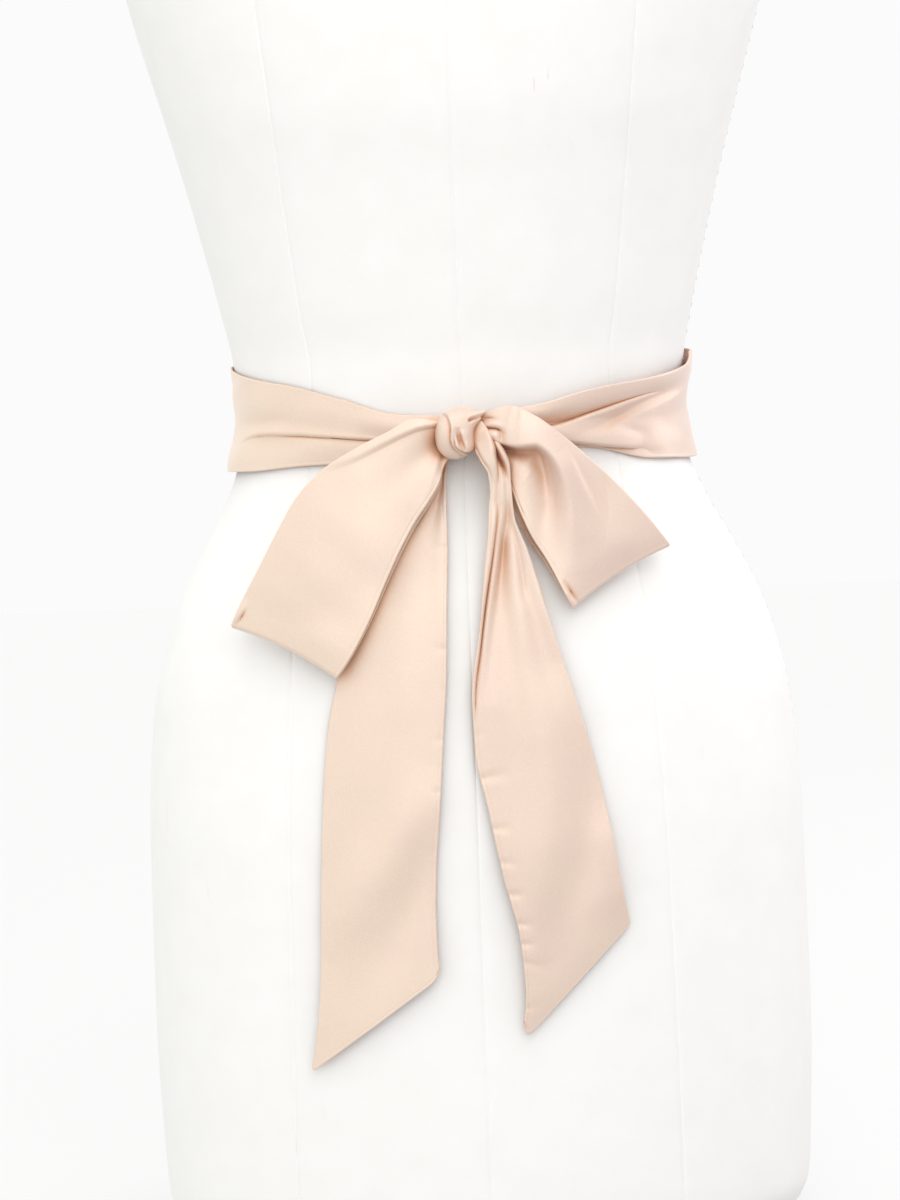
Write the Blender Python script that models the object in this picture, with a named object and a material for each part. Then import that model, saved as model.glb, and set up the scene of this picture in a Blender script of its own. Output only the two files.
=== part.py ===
"""A satin sash wound once round the waist of a limbless dress form and tied in a bow at the front.

The origin is the centre of the form's flat underside. +Z is up, -Y is the front, and +X is to the
right of someone who faces the front. Every size below is in millimetres; objects are in metres.
Heights of the cloth are given from the waist line, and "forward" is the distance in front of the
form's upright axis.
"""

import math

import bmesh
import bpy
import numpy as np

MM = 0.001

# Driving sizes
WAIST_HEIGHT = 405.0      # from the underside of the form to its waist line
SASH_WIDTH = 57.0         # the pressed, doubled sash across its width
CLOTH = 1.2               # both plies of satin and the air between them
SEAM_GAP = 0.3            # left between pieces that meet
FOLD_RADIUS = 2.6         # of the turn at the far end of each loop
ROUNDNESS = 2.3           # exponent of the form's level sections: 2 is an ellipse, more is squarer
ARM_PLANE = 165.0         # the flat ends where arms would start lie this far from the axis
PLATE_HEIGHT = 737.0      # of the middle of each arm plate
PLATE_HALF_HEIGHT = 46.0
PLATE_HALF_DEPTH = 38.0
PLATE_THICK = 3.0
PLATE_EASE = 0.8          # bevel round the outer face of a plate
NECK_CAP_THICK = 7.0

SATIN = (0.82, 0.66, 0.55)
SATIN_ROUGH = 0.38
PAINTED_CANVAS = (0.86, 0.86, 0.84)
CANVAS_ROUGH = 0.8
CAP_PAINT = (0.84, 0.84, 0.82)
CAP_ROUGH = 0.55


def table(columns, *rows):
    """A short table as one array for each named column."""
    return dict(zip(columns.split(), np.array(rows, dtype=float).T))


# Level sections of the dress form, from its underside to the top of its neck.
FORM = table(
    "height half_width front back",
    (0, 138, 94, 106),       # rim of the flat underside
    (3, 149.5, 105.5, 117.5),
    (9, 156.5, 112.5, 125),
    (20, 160.5, 116.5, 129.5),
    (40, 162, 118, 132),
    (100, 164, 120, 134),    # fullest part of the hip
    (200, 163, 121, 133),
    (260, 158.5, 118, 124),
    (305, 147.5, 112, 112),
    (335, 133.5, 105, 104),
    (360, 120, 98, 97),
    (382, 112, 94, 93),
    (405, 110, 93, 91.5),    # waist
    (430, 112, 94, 91),
    (455, 117, 98, 92),
    (510, 130, 108, 95),
    (555, 142, 118, 98),
    (610, 157, 124, 102),    # chest
    (650, 165, 125, 104),
    (692, 177, 119, 105),
    (737, 188, 105, 102),
    (773, 182, 88, 92),
    (796, 156, 73, 82),      # shoulder
    (812, 118, 61, 71),
    (824, 90, 54, 63),
    (838, 68, 50, 56),
    (855, 60, 49, 53),
    (880, 58, 48, 51),       # top of the neck
)

# The stretch round the waist. Angle 0 is the front, and it grows towards +X and on round the back.
BAND = table(
    "angle top bottom swell",
    (-2, -3, -21, 0.8),
    (10, -1, -20, 2.4),
    (20, 0.5, -19, 3.4),
    (34, 7, -20, 3.2),
    (54, 12, -27, 2.4),
    (72, 18, -27.5, 2.0),
    (90, 25.5, -27, 1.4),
    (130, SASH_WIDTH / 2, -SASH_WIDTH / 2, 1.0),   # its full width round the back
    (180, SASH_WIDTH / 2, -SASH_WIDTH / 2, 1.0),
    (230, SASH_WIDTH / 2, -SASH_WIDTH / 2, 1.0),
    (270, 25.5, -26.5, 1.6),
    (290, 20.5, -26.5, 2.2),
    (309, 15, -25, 2.6),
    (326, 8, -24, 3.2),
    (340, 0.5, -24, 3.2),
    (350, -1, -23, 2.2),
    (357, -2.5, -22, 0.8),
)
BAND_CLEAR = 1.2          # between the form and the band's inner face
SWELL_POWER = 1.5         # above 1 the swellings of the band are narrow and the hollows wide

# Front layer of each loop, from inside the knot to the fold at its far end. The outer edge is the
# upper one, and the back layer follows from it.
LOOP_COLUMNS = "outer_x outer_z outer_forward inner_x inner_z inner_forward belly roll"
LOOP_LEFT = table(
    LOOP_COLUMNS,
    (-3, -7, 108, -4, -19, 108, 0, 0),
    (-12, -5, 109.5, -11, -26.5, 108.5, 0.5, 0.6),
    (-22, -3.5, 110, -14, -33, 110, 1.5, 1.4),
    (-36, -9.5, 110, -19, -42, 111, 2.2, 1.8),
    (-52, -17, 109.5, -24, -52, 112, 2.8, 1.6),
    (-67, -26, 109.5, -31, -64, 115, 3, 1.2),
    (-79, -38, 109, -39, -80, 117.5, 3.2, 0.6),
    (-89, -54, 108.5, -46, -95, 119.5, 3, 0),
    (-99, -72, 107.5, -53, -108, 121, 2.5, 0),
    (-107, -86, 106.5, -59, -117.5, 121.5, 1.5, 0),
    (-112, -96, 106, -62, -121.5, 122, 1, 0),
)
LOOP_RIGHT = table(
    LOOP_COLUMNS,
    (-3, -6, 107, -2, -18, 107, 0, 0),
    (6, -3.5, 108.5, 6, -20, 108, 0.3, 1),
    (13, -1, 109.5, 13, -24, 108.5, 0.5, 2.4),
    (22, 1, 110, 18, -28, 109, 0.5, 3.4),
    (33, -3.5, 110, 21, -36, 110, 1, 4),
    (45, -12.5, 109.5, 25, -48, 111.5, 1.5, 4),
    (59, -25, 108, 30, -60, 113, 2, 3.2),
    (73, -39, 105.5, 37, -72, 114.5, 2, 2),
    (86, -54, 103, 44, -84, 116.5, 1.5, 1),
    (96, -68, 100, 50, -96, 118.5, 1, 0),
)
ROLL_PLACE = 0.24         # the soft roll along a loop's outer edge, as a share of its width
ROLL_SPREAD = 0.17
LOOP_INSET = 1.6          # how much narrower the back layer shows than the front one
INSET_POWER = 0.5         # how soon along the loop that narrowing is reached
BACK_BELLY = 1.2          # the back layer swells backwards by this share of the front's belly

# Each tail, from inside the knot to its slanted end. "off" is how far in front of the form it lies.
TAIL_COLUMNS = "left_x left_z left_off right_x right_z right_off gathers"
TAIL_LEFT = table(
    TAIL_COLUMNS,
    (-9, -15, 6.5, -1, -15, 6.5, 0),
    (-13, -25, 5, -5, -25, 5, 0.4),
    (-22, -36, 4, -8, -36, 4.2, 0.8),
    (-37, -58, 3.4, -9, -60, 4, 1),
    (-54, -88, 3, -10.5, -92, 3.6, 0.7),
    (-63, -124, 3, -12, -126, 3.4, 0.4),
    (-69, -150, 3, -14, -148, 3.4, 0.3),
    (-73, -193, 3.4, -17.5, -188, 3.8, 0.3),
    (-75, -227, 4, -20, -214, 4.2, 0.2),
    (-76.5, -262, 4.6, -21, -235, 4.6, 0),
    (-79, -288, 5, -21, -252, 5, 0),
    (-83, -310, 5.4, -20, -265, 5.4, 0),
)
TAIL_RIGHT = table(
    TAIL_COLUMNS,
    (-1, -16, 17, 1, -9, 17, 0),
    (6, -20, 19, 9, -8.5, 19, 0.3),
    (9, -26, 19, 15, -15, 20, 0.5),
    (11.5, -35, 17, 20, -25, 19.5, 0.8),
    (12, -46, 14, 22, -38, 16.5, 1.2),
    (10.5, -70, 9, 28.5, -66, 11, 1.6),
    (5, -102, 6, 37, -98, 6.5, 1.4),
    (-0.5, -135, 5, 47, -133, 5, 0.8),
    (0, -160, 4.6, 54, -158, 4.6, 0.5),
    (5, -187, 4.6, 59.5, -183, 4.6, 0.3),
    (11, -219, 5, 63.5, -205, 5, 0.2),
    (18, -250, 5.6, 66.5, -223, 5.2, 0),
    (19.5, -273, 6, 68, -234, 5.6, 0),
    (18, -292, 6.4, 69, -243, 6, 0),
)
GATHER_WAVES = 2.5        # folds across a tail where the knot gathers it

# The neck cap, from its underside: share of its thickness, and how far its rim draws in.
NECK_CAP = table(
    "rise shrink",
    (0, 0),
    (0.55, 0),
    (0.85, 2),
    (1, 6),
)

# The knot, from its underside to its top.
KNOT = table(
    "height left right back forward",
    (-24, -9, 1, 103, 109),
    (-23, -11.5, 3.5, 100, 113),
    (-19, -13.2, 5.2, 98, 116),
    (-12, -13.4, 5.4, 97.6, 117.5),
    (-6, -13, 6, 97.8, 117),
    (-1, -10.5, 8, 99, 114.5),
    (1.5, -5, 6, 102, 110),
)
KNOT_ROUNDNESS = 2.6

# How finely each piece is divided
FORM_SIDES = 52
FORM_STEP = 40.0          # between rings where the tabled sections lie further apart
BAND_STEPS = 76
BAND_ACROSS = 9
RIBBON_ACROSS = 11
LOOP_STEPS = 15
FOLD_STEPS = 5
TAIL_STEPS = 30
KNOT_SIDES = 24
PLATE_SIDES = 36


def smooth(xs, ys, at):
    """Monotone cubic curve through the tabled points: round, and never past a tabled value."""
    xs = np.asarray(xs, float)
    ys = np.asarray(ys, float)
    at = np.clip(np.asarray(at, float), xs[0], xs[-1])
    run = np.diff(xs)
    slope = np.diff(ys) / run
    tangent = np.empty_like(ys)
    tangent[0] = slope[0]
    tangent[-1] = slope[-1]
    same_way = slope[:-1] * slope[1:] > 0
    safe = np.where(same_way, slope[:-1] * slope[1:], 1.0)
    tangent[1:-1] = np.where(same_way, 2 * safe / np.where(same_way, slope[:-1] + slope[1:], 1.0), 0.0)
    i = np.clip(np.searchsorted(xs, at) - 1, 0, len(run) - 1)
    t = (at - xs[i]) / run[i]
    return (
        ys[i] * (1 + 2 * t) * (1 - t) ** 2
        + ys[i + 1] * t * t * (3 - 2 * t)
        + run[i] * (tangent[i] * t * (1 - t) ** 2 - tangent[i + 1] * t * t * (1 - t))
    )


def form_section(height):
    """Half width, front depth and back depth of the form at a height above its underside."""
    return tuple(smooth(FORM["height"], FORM[name], height) for name in ("half_width", "front", "back"))


def form_ring(angle, height):
    """Points on the form at angles from the front (radians, towards +X) and at a height."""
    half_width, front, back = form_section(height)
    x, y = np.sin(angle), -np.cos(angle)
    depth = np.where(y < 0, front, back)
    reach = ((np.abs(x) / half_width) ** ROUNDNESS + (np.abs(y) / depth) ** ROUNDNESS) ** (-1 / ROUNDNESS)
    return x * reach, y * reach


def form_outward(x, y, height):
    """Level unit direction that points straight out of the form at a point on it."""
    half_width, front, back = form_section(height)
    depth = np.where(y < 0, front, back)
    out_x = np.sign(x) * np.abs(x) ** (ROUNDNESS - 1) / half_width**ROUNDNESS
    out_y = np.sign(y) * np.abs(y) ** (ROUNDNESS - 1) / depth**ROUNDNESS
    length = np.hypot(out_x, out_y)
    return out_x / length, out_y / length


def form_forward(x, height):
    """How far in front of the axis the form's surface lies."""
    half_width, front, _ = form_section(height)
    share = np.clip(np.abs(x) / half_width, 0, 0.999)
    return front * (1 - share**ROUNDNESS) ** (1 / ROUNDNESS)


def material(name, colour, roughness, sheen=0.0):
    """A Principled material of one colour."""
    made = bpy.data.materials.new(name)
    made.use_nodes = True
    shader = made.node_tree.nodes["Principled BSDF"]
    shader.inputs["Base Color"].default_value = (*colour, 1.0)
    shader.inputs["Roughness"].default_value = roughness
    shader.inputs["Metallic"].default_value = 0.0
    shader.inputs["Sheen Weight"].default_value = sheen
    return made


def add_object(name, points, faces, finish):
    """A mesh object from points in millimetres, facing outwards and shaded smooth."""
    mesh = bpy.data.meshes.new(name)
    mesh.from_pydata((np.asarray(points) * MM).tolist(), [], faces)
    builder = bmesh.new()
    builder.from_mesh(mesh)
    bmesh.ops.recalc_face_normals(builder, faces=builder.faces)
    builder.to_mesh(mesh)
    builder.free()
    mesh.shade_smooth()
    mesh.set_sharp_from_angle(angle=math.radians(40))
    mesh.materials.append(finish)
    made = bpy.data.objects.new(name, mesh)
    bpy.context.scene.collection.objects.link(made)
    return made


def cloth_solid(name, middle, finish):
    """A closed wall of cloth about a grid of middle points, indexed by row, column and axis."""
    along, across = np.gradient(middle, axis=0), np.gradient(middle, axis=1)
    normal = np.cross(along, across)
    normal /= np.linalg.norm(normal, axis=2, keepdims=True)
    faces = []
    rows, columns = middle.shape[:2]
    sides = np.arange(2 * rows * columns).reshape(2, rows, columns)
    for r in range(rows - 1):
        for c in range(columns - 1):
            for side in sides:
                faces.append((side[r, c], side[r, c + 1], side[r + 1, c + 1], side[r + 1, c]))
    border = [(0, c) for c in range(columns)] + [(r, columns - 1) for r in range(1, rows)]
    border += [(rows - 1, c) for c in range(columns - 2, -1, -1)] + [(r, 0) for r in range(rows - 2, 0, -1)]
    for here, there in zip(border, border[1:] + border[:1]):
        faces.append((sides[0][here], sides[0][there], sides[1][there], sides[1][here]))
    points = np.concatenate([(middle + normal * CLOTH / 2), (middle - normal * CLOTH / 2)])
    return add_object(name, points.reshape(-1, 3), [tuple(map(int, f)) for f in faces], finish)


def rings_solid(name, rings, finish):
    """A closed solid through level rings that have the same number of points, capped flat."""
    rings = np.asarray(rings)
    count, sides = rings.shape[:2]
    faces = [tuple(range(sides)), tuple(range((count - 1) * sides, count * sides))]
    for k in range(count - 1):
        for i in range(sides):
            j = (i + 1) % sides
            faces.append((k * sides + i, k * sides + j, (k + 1) * sides + j, (k + 1) * sides + i))
    return add_object(name, rings.reshape(-1, 3), faces, finish)


def form_body(finish):
    """The torso, from its flat underside to its neck, with flat ends where arms would start."""
    heights = [0.0]
    for low, high in zip(FORM["height"], FORM["height"][1:]):
        parts = math.ceil((high - low) / FORM_STEP)
        heights += [low + (high - low) * (k + 1) / parts for k in range(parts)]
    angles = 2 * math.pi * np.arange(FORM_SIDES) / FORM_SIDES
    rings = []
    for height in heights:
        x, y = form_ring(angles, height)
        x = np.clip(x, -ARM_PLANE, ARM_PLANE)
        rings.append(np.stack([x, y, np.full_like(x, height)], axis=1))
    return rings_solid("form_body", rings, finish)


def form_neck_cap(finish):
    """A low domed cap on top of the neck."""
    top = FORM["height"][-1] + SEAM_GAP
    angles = 2 * math.pi * np.arange(FORM_SIDES) / FORM_SIDES
    rings = []
    for rise, shrink in zip(NECK_CAP["rise"], NECK_CAP["shrink"]):
        x, y = form_ring(angles, FORM["height"][-1])
        scale = 1 - shrink / FORM["half_width"][-1]
        rings.append(np.stack([x * scale, y * scale, np.full_like(x, top + rise * NECK_CAP_THICK)], axis=1))
    return rings_solid("form_neck_cap", rings, finish)


def form_arm_plate(name, side, finish):
    """An oval board on the flat end of a shoulder, with its front and back edge eased."""
    angles = 2 * math.pi * np.arange(PLATE_SIDES) / PLATE_SIDES
    rings = []
    for out, shrink in ((0, 0), (PLATE_THICK - PLATE_EASE, 0), (PLATE_THICK, PLATE_EASE)):
        x = side * (ARM_PLANE + SEAM_GAP + out)
        y = (PLATE_HALF_DEPTH - shrink) * np.cos(angles)
        z = PLATE_HEIGHT + (PLATE_HALF_HEIGHT - shrink) * np.sin(angles)
        rings.append(np.stack([np.full_like(y, x), y, z], axis=1))
    return rings_solid(name, rings, finish)


def sash_band(finish):
    """The stretch round the waist, swelling between its edges and narrow where the knot grips it."""
    angles = np.linspace(BAND["angle"][0], BAND["angle"][-1], BAND_STEPS + 1)
    top = smooth(BAND["angle"], BAND["top"], angles)
    bottom = smooth(BAND["angle"], BAND["bottom"], angles)
    swell = smooth(BAND["angle"], BAND["swell"], angles)
    down = np.linspace(0, 1, BAND_ACROSS)
    height = WAIST_HEIGHT + top[:, None] + (bottom - top)[:, None] * down
    angle = np.radians(angles)[:, None] + 0 * down
    x, y = form_ring(angle, height)
    out_x, out_y = form_outward(x, y, height)
    out = BAND_CLEAR + CLOTH / 2 + swell[:, None] * np.abs(np.sin(2 * math.pi * down)) ** SWELL_POWER
    return cloth_solid("sash_band", np.stack([x + out_x * out, y + out_y * out, height], axis=2), finish)


def row_places(x_steps, z_steps):
    """Distance run at each tabled row, so that rows are spread evenly along the cloth."""
    return np.concatenate([[0], np.cumsum(np.hypot(np.diff(x_steps), np.diff(z_steps)))])


def even_rows(rows, centre_x, centre_z, steps):
    """Every column of a table read at evenly spread places along its centre line."""
    places = row_places(rows[centre_x[0]] + rows[centre_x[1]], rows[centre_z[0]] + rows[centre_z[1]])
    at = np.linspace(0, places[-1], steps + 1)
    return {name: smooth(places, column, at) for name, column in rows.items()}


def sash_loop(name, table_rows, finish):
    """A flattened loop: a front layer, a tight turn at the far end, and a back layer behind it."""
    rows = even_rows(table_rows, ("outer_x", "inner_x"), ("outer_z", "inner_z"), LOOP_STEPS)
    across = np.linspace(0, 1, RIBBON_ACROSS)
    outer = np.stack([rows["outer_x"], -rows["outer_forward"], rows["outer_z"]], axis=1)
    inner = np.stack([rows["inner_x"], -rows["inner_forward"], rows["inner_z"]], axis=1)
    front = outer[:, None] + (inner - outer)[:, None] * across[None, :, None]
    bulge = rows["belly"][:, None] * 4 * across * (1 - across)
    roll = rows["roll"][:, None] * np.exp(-(((across - ROLL_PLACE) / ROLL_SPREAD) ** 2))
    front[:, :, 1] -= bulge + roll

    tight = np.linspace(0, 1, LOOP_STEPS + 1) ** INSET_POWER
    inset = (LOOP_INSET * (1 - 2 * across))[None, :, None] * tight[:, None, None]
    along_width = (inner - outer) / np.linalg.norm(inner - outer, axis=1, keepdims=True)
    back = front + inset * along_width[:, None]
    back[:, :, 1] += 2 * FOLD_RADIUS + bulge * BACK_BELLY + roll

    end_way = front[-1] - front[-2]
    end_way[:, 1] = 0
    end_way /= np.linalg.norm(end_way, axis=1, keepdims=True)
    turn = []
    for k in range(1, FOLD_STEPS):
        part = math.pi * k / FOLD_STEPS
        row = front[-1] + (back[-1] - front[-1]) * (1 - math.cos(part)) / 2
        turn.append(row + end_way * FOLD_RADIUS * math.sin(part))
    return cloth_solid(name, np.concatenate([front, np.array(turn), back[::-1]]), finish)


def sash_tail(name, table_rows, finish):
    """A hanging end, gathered at the knot and lying just off the front of the form."""
    rows = even_rows(table_rows, ("left_x", "right_x"), ("left_z", "right_z"), TAIL_STEPS)
    across = np.linspace(0, 1, RIBBON_ACROSS)

    def spread(column):
        left, right = rows["left_" + column][:, None], rows["right_" + column][:, None]
        return left + (right - left) * across

    x, z = spread("x"), spread("z")
    wave = rows["gathers"][:, None] * (1 - np.cos(2 * math.pi * GATHER_WAVES * across)) / 2
    forward = form_forward(x, WAIST_HEIGHT + z) + spread("off") + wave
    return cloth_solid(name, np.stack([x, -forward, z], axis=2), finish)


def knot_rings(grow):
    """Level rings of the knot, or of a copy of it that is larger all round by grow."""
    angles = 2 * math.pi * np.arange(KNOT_SIDES) / KNOT_SIDES
    last = len(KNOT["height"]) - 1
    rings = []
    for k, height in enumerate(KNOT["height"]):
        height += {0: -grow, last: grow}.get(k, 0)
        half_width = (KNOT["right"][k] - KNOT["left"][k]) / 2 + grow
        half_depth = (KNOT["forward"][k] - KNOT["back"][k]) / 2 + grow
        x, y = np.cos(angles), np.sin(angles)
        reach = (np.abs(x) ** KNOT_ROUNDNESS + np.abs(y) ** KNOT_ROUNDNESS) ** (-1 / KNOT_ROUNDNESS)
        x = (KNOT["right"][k] + KNOT["left"][k]) / 2 + half_width * x * reach
        y = -(KNOT["forward"][k] + KNOT["back"][k]) / 2 + half_depth * y * reach
        rings.append(np.stack([x, y, np.full_like(x, height)], axis=1))
    return rings


def trim(piece, cutter):
    """Cut a piece of cloth back to where it enters the knot."""
    cut = piece.modifiers.new("trim at the knot", "BOOLEAN")
    cut.operation = "DIFFERENCE"
    cut.object = cutter


for old in list(bpy.data.objects):
    bpy.data.objects.remove(old, do_unlink=True)

satin = material("satin", SATIN, SATIN_ROUGH, sheen=0.3)
canvas = material("painted_canvas", PAINTED_CANVAS, CANVAS_ROUGH)
cap_paint = material("cap_paint", CAP_PAINT, CAP_ROUGH)

form_body(canvas)
form_neck_cap(cap_paint)
form_arm_plate("form_arm_plate_left", -1, cap_paint)
form_arm_plate("form_arm_plate_right", 1, cap_paint)

sash_band(satin)
knot = rings_solid("sash_knot", knot_rings(0), satin)
into_knot = [
    sash_loop("sash_loop_left", LOOP_LEFT, satin),
    sash_loop("sash_loop_right", LOOP_RIGHT, satin),
    sash_tail("sash_tail_left", TAIL_LEFT, satin),
    sash_tail("sash_tail_right", TAIL_RIGHT, satin),
]
knot_cutter = rings_solid("knot_cutter", knot_rings(2 * SEAM_GAP), satin)
knot_cutter.hide_render = True
knot_cutter.display_type = "WIRE"
for stretch in into_knot:
    trim(stretch, knot_cutter)
for piece in into_knot + [knot, knot_cutter]:
    piece.location.z = WAIST_HEIGHT * MM
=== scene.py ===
# %% [markdown]
# # A satin sash tied round a dress form
# The sash is one long strip of satin, sewn double, wound once round the waist and tied in a bow.
# It rests on a limbless dress form covered in white-painted canvas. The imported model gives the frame:
# where each stretch of cloth lies and how large it is. Each piece below is a finer skin on that frame.

# %% Load the frame
import math

import bmesh
import bpy
import numpy as np
from mathutils import Matrix, Vector


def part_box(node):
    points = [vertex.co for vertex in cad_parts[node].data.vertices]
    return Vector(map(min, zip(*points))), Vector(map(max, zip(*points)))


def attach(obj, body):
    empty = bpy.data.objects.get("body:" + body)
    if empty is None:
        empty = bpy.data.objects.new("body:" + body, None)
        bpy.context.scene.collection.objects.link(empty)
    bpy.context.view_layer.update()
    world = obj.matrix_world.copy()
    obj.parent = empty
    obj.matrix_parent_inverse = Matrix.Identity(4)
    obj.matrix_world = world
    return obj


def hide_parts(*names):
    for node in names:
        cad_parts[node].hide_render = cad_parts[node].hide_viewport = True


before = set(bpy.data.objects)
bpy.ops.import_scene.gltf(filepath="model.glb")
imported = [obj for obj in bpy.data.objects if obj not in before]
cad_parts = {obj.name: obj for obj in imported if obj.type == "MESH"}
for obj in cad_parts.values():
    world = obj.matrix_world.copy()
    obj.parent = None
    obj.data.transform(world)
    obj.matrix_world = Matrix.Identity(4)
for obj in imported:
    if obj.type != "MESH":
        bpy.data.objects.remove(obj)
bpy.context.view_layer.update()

MM = 0.001

# %% [markdown]
# ## Where the waist is
# The sash is measured from the waist line, because that is where a dresser starts. The waist line is
# the middle of the band's height at the sides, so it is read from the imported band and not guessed.

# %% Waist line and driving sizes
band_low, band_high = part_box("sash_band")
WAIST = round((band_low[2] + band_high[2]) / 2 / MM)
SASH_WIDTH = 57.0        # the finished sash, sewn double
CLOTH = 1.3              # two plies of satin with a little air between them
ROUNDNESS = 2.3          # exponent of the form's level sections: 2 would be an ellipse
ARM_PLANE = 165.0        # the flat ends where arms would start lie this far from the axis
print("waist line at", WAIST, "mm")


# %% [markdown]
# ## Short tables and smooth curves
# A pattern cutter notes a shape as a few measurements and draws a fair curve through them. Here a
# table has a named column for each measurement, and a monotone cubic goes through its rows: unlike
# other splines it never swings past a tabled value, so a hem can't bulge where nobody asked for it.

# %% Tables and curves
def table(columns, *rows):
    """A short table as one array for each named column."""
    return dict(zip(columns.split(), np.array(rows, dtype=float).T))


def smooth(xs, ys, at):
    """Monotone cubic curve through the tabled points."""
    xs = np.asarray(xs, float)
    ys = np.asarray(ys, float)
    at = np.clip(np.asarray(at, float), xs[0], xs[-1])
    run = np.diff(xs)
    slope = np.diff(ys) / run
    tangent = np.empty_like(ys)
    tangent[0] = slope[0]
    tangent[-1] = slope[-1]
    same_way = slope[:-1] * slope[1:] > 0
    both = np.where(same_way, slope[:-1] + slope[1:], 1.0)
    tangent[1:-1] = np.where(same_way, 2 * slope[:-1] * slope[1:] / both, 0.0)
    i = np.clip(np.searchsorted(xs, at) - 1, 0, len(run) - 1)
    t = (at - xs[i]) / run[i]
    return (
        ys[i] * (1 + 2 * t) * (1 - t) ** 2
        + ys[i + 1] * t * t * (3 - 2 * t)
        + run[i] * (tangent[i] * t * (1 - t) ** 2 - tangent[i + 1] * t * t * (1 - t))
    )


# %% [markdown]
# ## The dress form's sections
# A moulded form is described by level sections. Each row gives the height above the underside, half
# the width, and how far the front and the back lie from the upright axis. A superellipse joins them,
# which is a little squarer than an ellipse, as a body form is.

# %% Sections of the dress form
FORM = table(
    "height half_width front back",
    (0, 138, 94, 106),
    (3, 149.5, 105.5, 117.5),
    (9, 156.5, 112.5, 125),
    (20, 160.5, 116.5, 129.5),
    (40, 162, 118, 132),
    (100, 164, 120, 134),
    (200, 163, 121, 133),
    (260, 158.5, 118, 124),
    (305, 147.5, 112, 112),
    (335, 133.5, 105, 104),
    (360, 120, 98, 97),
    (382, 112, 94, 93),
    (405, 110, 93, 91.5),
    (430, 112, 94, 91),
    (455, 117, 98, 92),
    (510, 130, 108, 95),
    (555, 142, 118, 98),
    (610, 157, 124, 102),
    (650, 165, 125, 104),
    (692, 177, 119, 105),
    (737, 188, 105, 102),
    (773, 182, 88, 92),
    (796, 156, 73, 82),
    (812, 118, 61, 71),
    (824, 90, 54, 63),
    (838, 68, 50, 56),
    (855, 60, 49, 53),
    (880, 58, 48, 51),
)


def form_section(height):
    """Half width, front depth and back depth at a height."""
    return tuple(smooth(FORM["height"], FORM[name], height) for name in ("half_width", "front", "back"))


def form_ring(angle, height):
    """Points on the form at angles from the front, in radians, towards +X."""
    half_width, front, back = form_section(height)
    x, y = np.sin(angle), -np.cos(angle)
    depth = np.where(y < 0, front, back)
    reach = ((np.abs(x) / half_width) ** ROUNDNESS + (np.abs(y) / depth) ** ROUNDNESS) ** (-1 / ROUNDNESS)
    return x * reach, y * reach


def form_outward(x, y, height):
    """Level unit direction straight out of the form."""
    half_width, front, back = form_section(height)
    depth = np.where(y < 0, front, back)
    out_x = np.sign(x) * np.abs(x) ** (ROUNDNESS - 1) / half_width**ROUNDNESS
    out_y = np.sign(y) * np.abs(y) ** (ROUNDNESS - 1) / depth**ROUNDNESS
    length = np.hypot(out_x, out_y)
    return out_x / length, out_y / length


def form_forward(x, height):
    """How far in front of the axis the form's surface lies."""
    half_width, front, _ = form_section(height)
    share = np.clip(np.abs(x) / half_width, 0, 0.999)
    return front * (1 - share**ROUNDNESS) ** (1 / ROUNDNESS)


round_waist = form_ring(np.linspace(0, 2 * math.pi, 721), np.full(721, float(WAIST)))
print("waist round the form:", round(float(np.hypot(*np.diff(round_waist, axis=1)).sum())), "mm")


# %% [markdown]
# ## Creases, rolls and laps
# Satin shows its drape in a few long folds. Each fold is a short table: a path over the cloth in
# millimetres, the height of the fold there, and how far it reaches on the left and the right of the
# path. Three sections are enough. A bell is a soft ridge or trough. A roll is a tube of cloth on the
# left of its path. A lap is a pleat: the cloth on the left lies over the cloth on the right, so it
# ends in a rounded lip with a narrow trough under it.

# %% Fold functions
PATH_STEPS = 72
LIP = 0.45               # half the distance over which a lip drops


def fold(section, *rows):
    """A fold's section function with its path, read at even steps along a smooth curve."""
    path = table("x z height left right", *rows)
    places = np.concatenate([[0], np.cumsum(np.hypot(np.diff(path["x"]), np.diff(path["z"])))])
    at = np.linspace(0, places[-1], PATH_STEPS + 1)
    return section, {name: smooth(places, column, at) for name, column in path.items()}


def from_path(x, z, path):
    """For each point of the cloth: signed distance from the path (left is positive) and place on it."""
    nearest = np.full(x.shape, np.inf)
    gap = np.zeros(x.shape)
    place = np.zeros(x.shape)
    for k in range(PATH_STEPS):
        way_x, way_z = path["x"][k + 1] - path["x"][k], path["z"][k + 1] - path["z"][k]
        from_x, from_z = x - path["x"][k], z - path["z"][k]
        share = np.clip((from_x * way_x + from_z * way_z) / (way_x**2 + way_z**2), 0, 1)
        distance = np.hypot(from_x - share * way_x, from_z - share * way_z)
        closer = distance < nearest
        nearest[closer] = distance[closer]
        side = way_x * from_z - way_z * from_x
        gap[closer] = (distance * np.where(side >= 0, 1.0, -1.0))[closer]
        place[closer] = (k + share)[closer]
    return gap, place


def bell(gap, left, right):
    """A soft ridge, or a trough where its height is negative."""
    return np.exp(-((gap / np.where(gap > 0, left, right)) ** 2))


def roll(gap, left, right):
    """A tube of cloth on the left: it rises over the right-hand width and eases down over the left."""
    rise = np.clip(gap / right + 0.4, 0, 1)
    fall = np.cos(math.pi / 2 * np.clip(gap / left, 0, 1)) ** 1.3
    return rise * rise * (3 - 2 * rise) * fall


def lap(gap, left, right):
    """Cloth on the left lying over cloth on the right, with a rounded lip."""
    rise = np.clip((gap + LIP) / (2 * LIP), 0, 1)
    lip = np.sqrt(1 - (1 - rise) ** 2) * np.exp(-((np.maximum(gap - LIP, 0) / left) ** 1.4))
    return lip - 0.35 * np.exp(-((np.minimum(gap, 0) / right) ** 2)) * (1 - rise)


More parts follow.
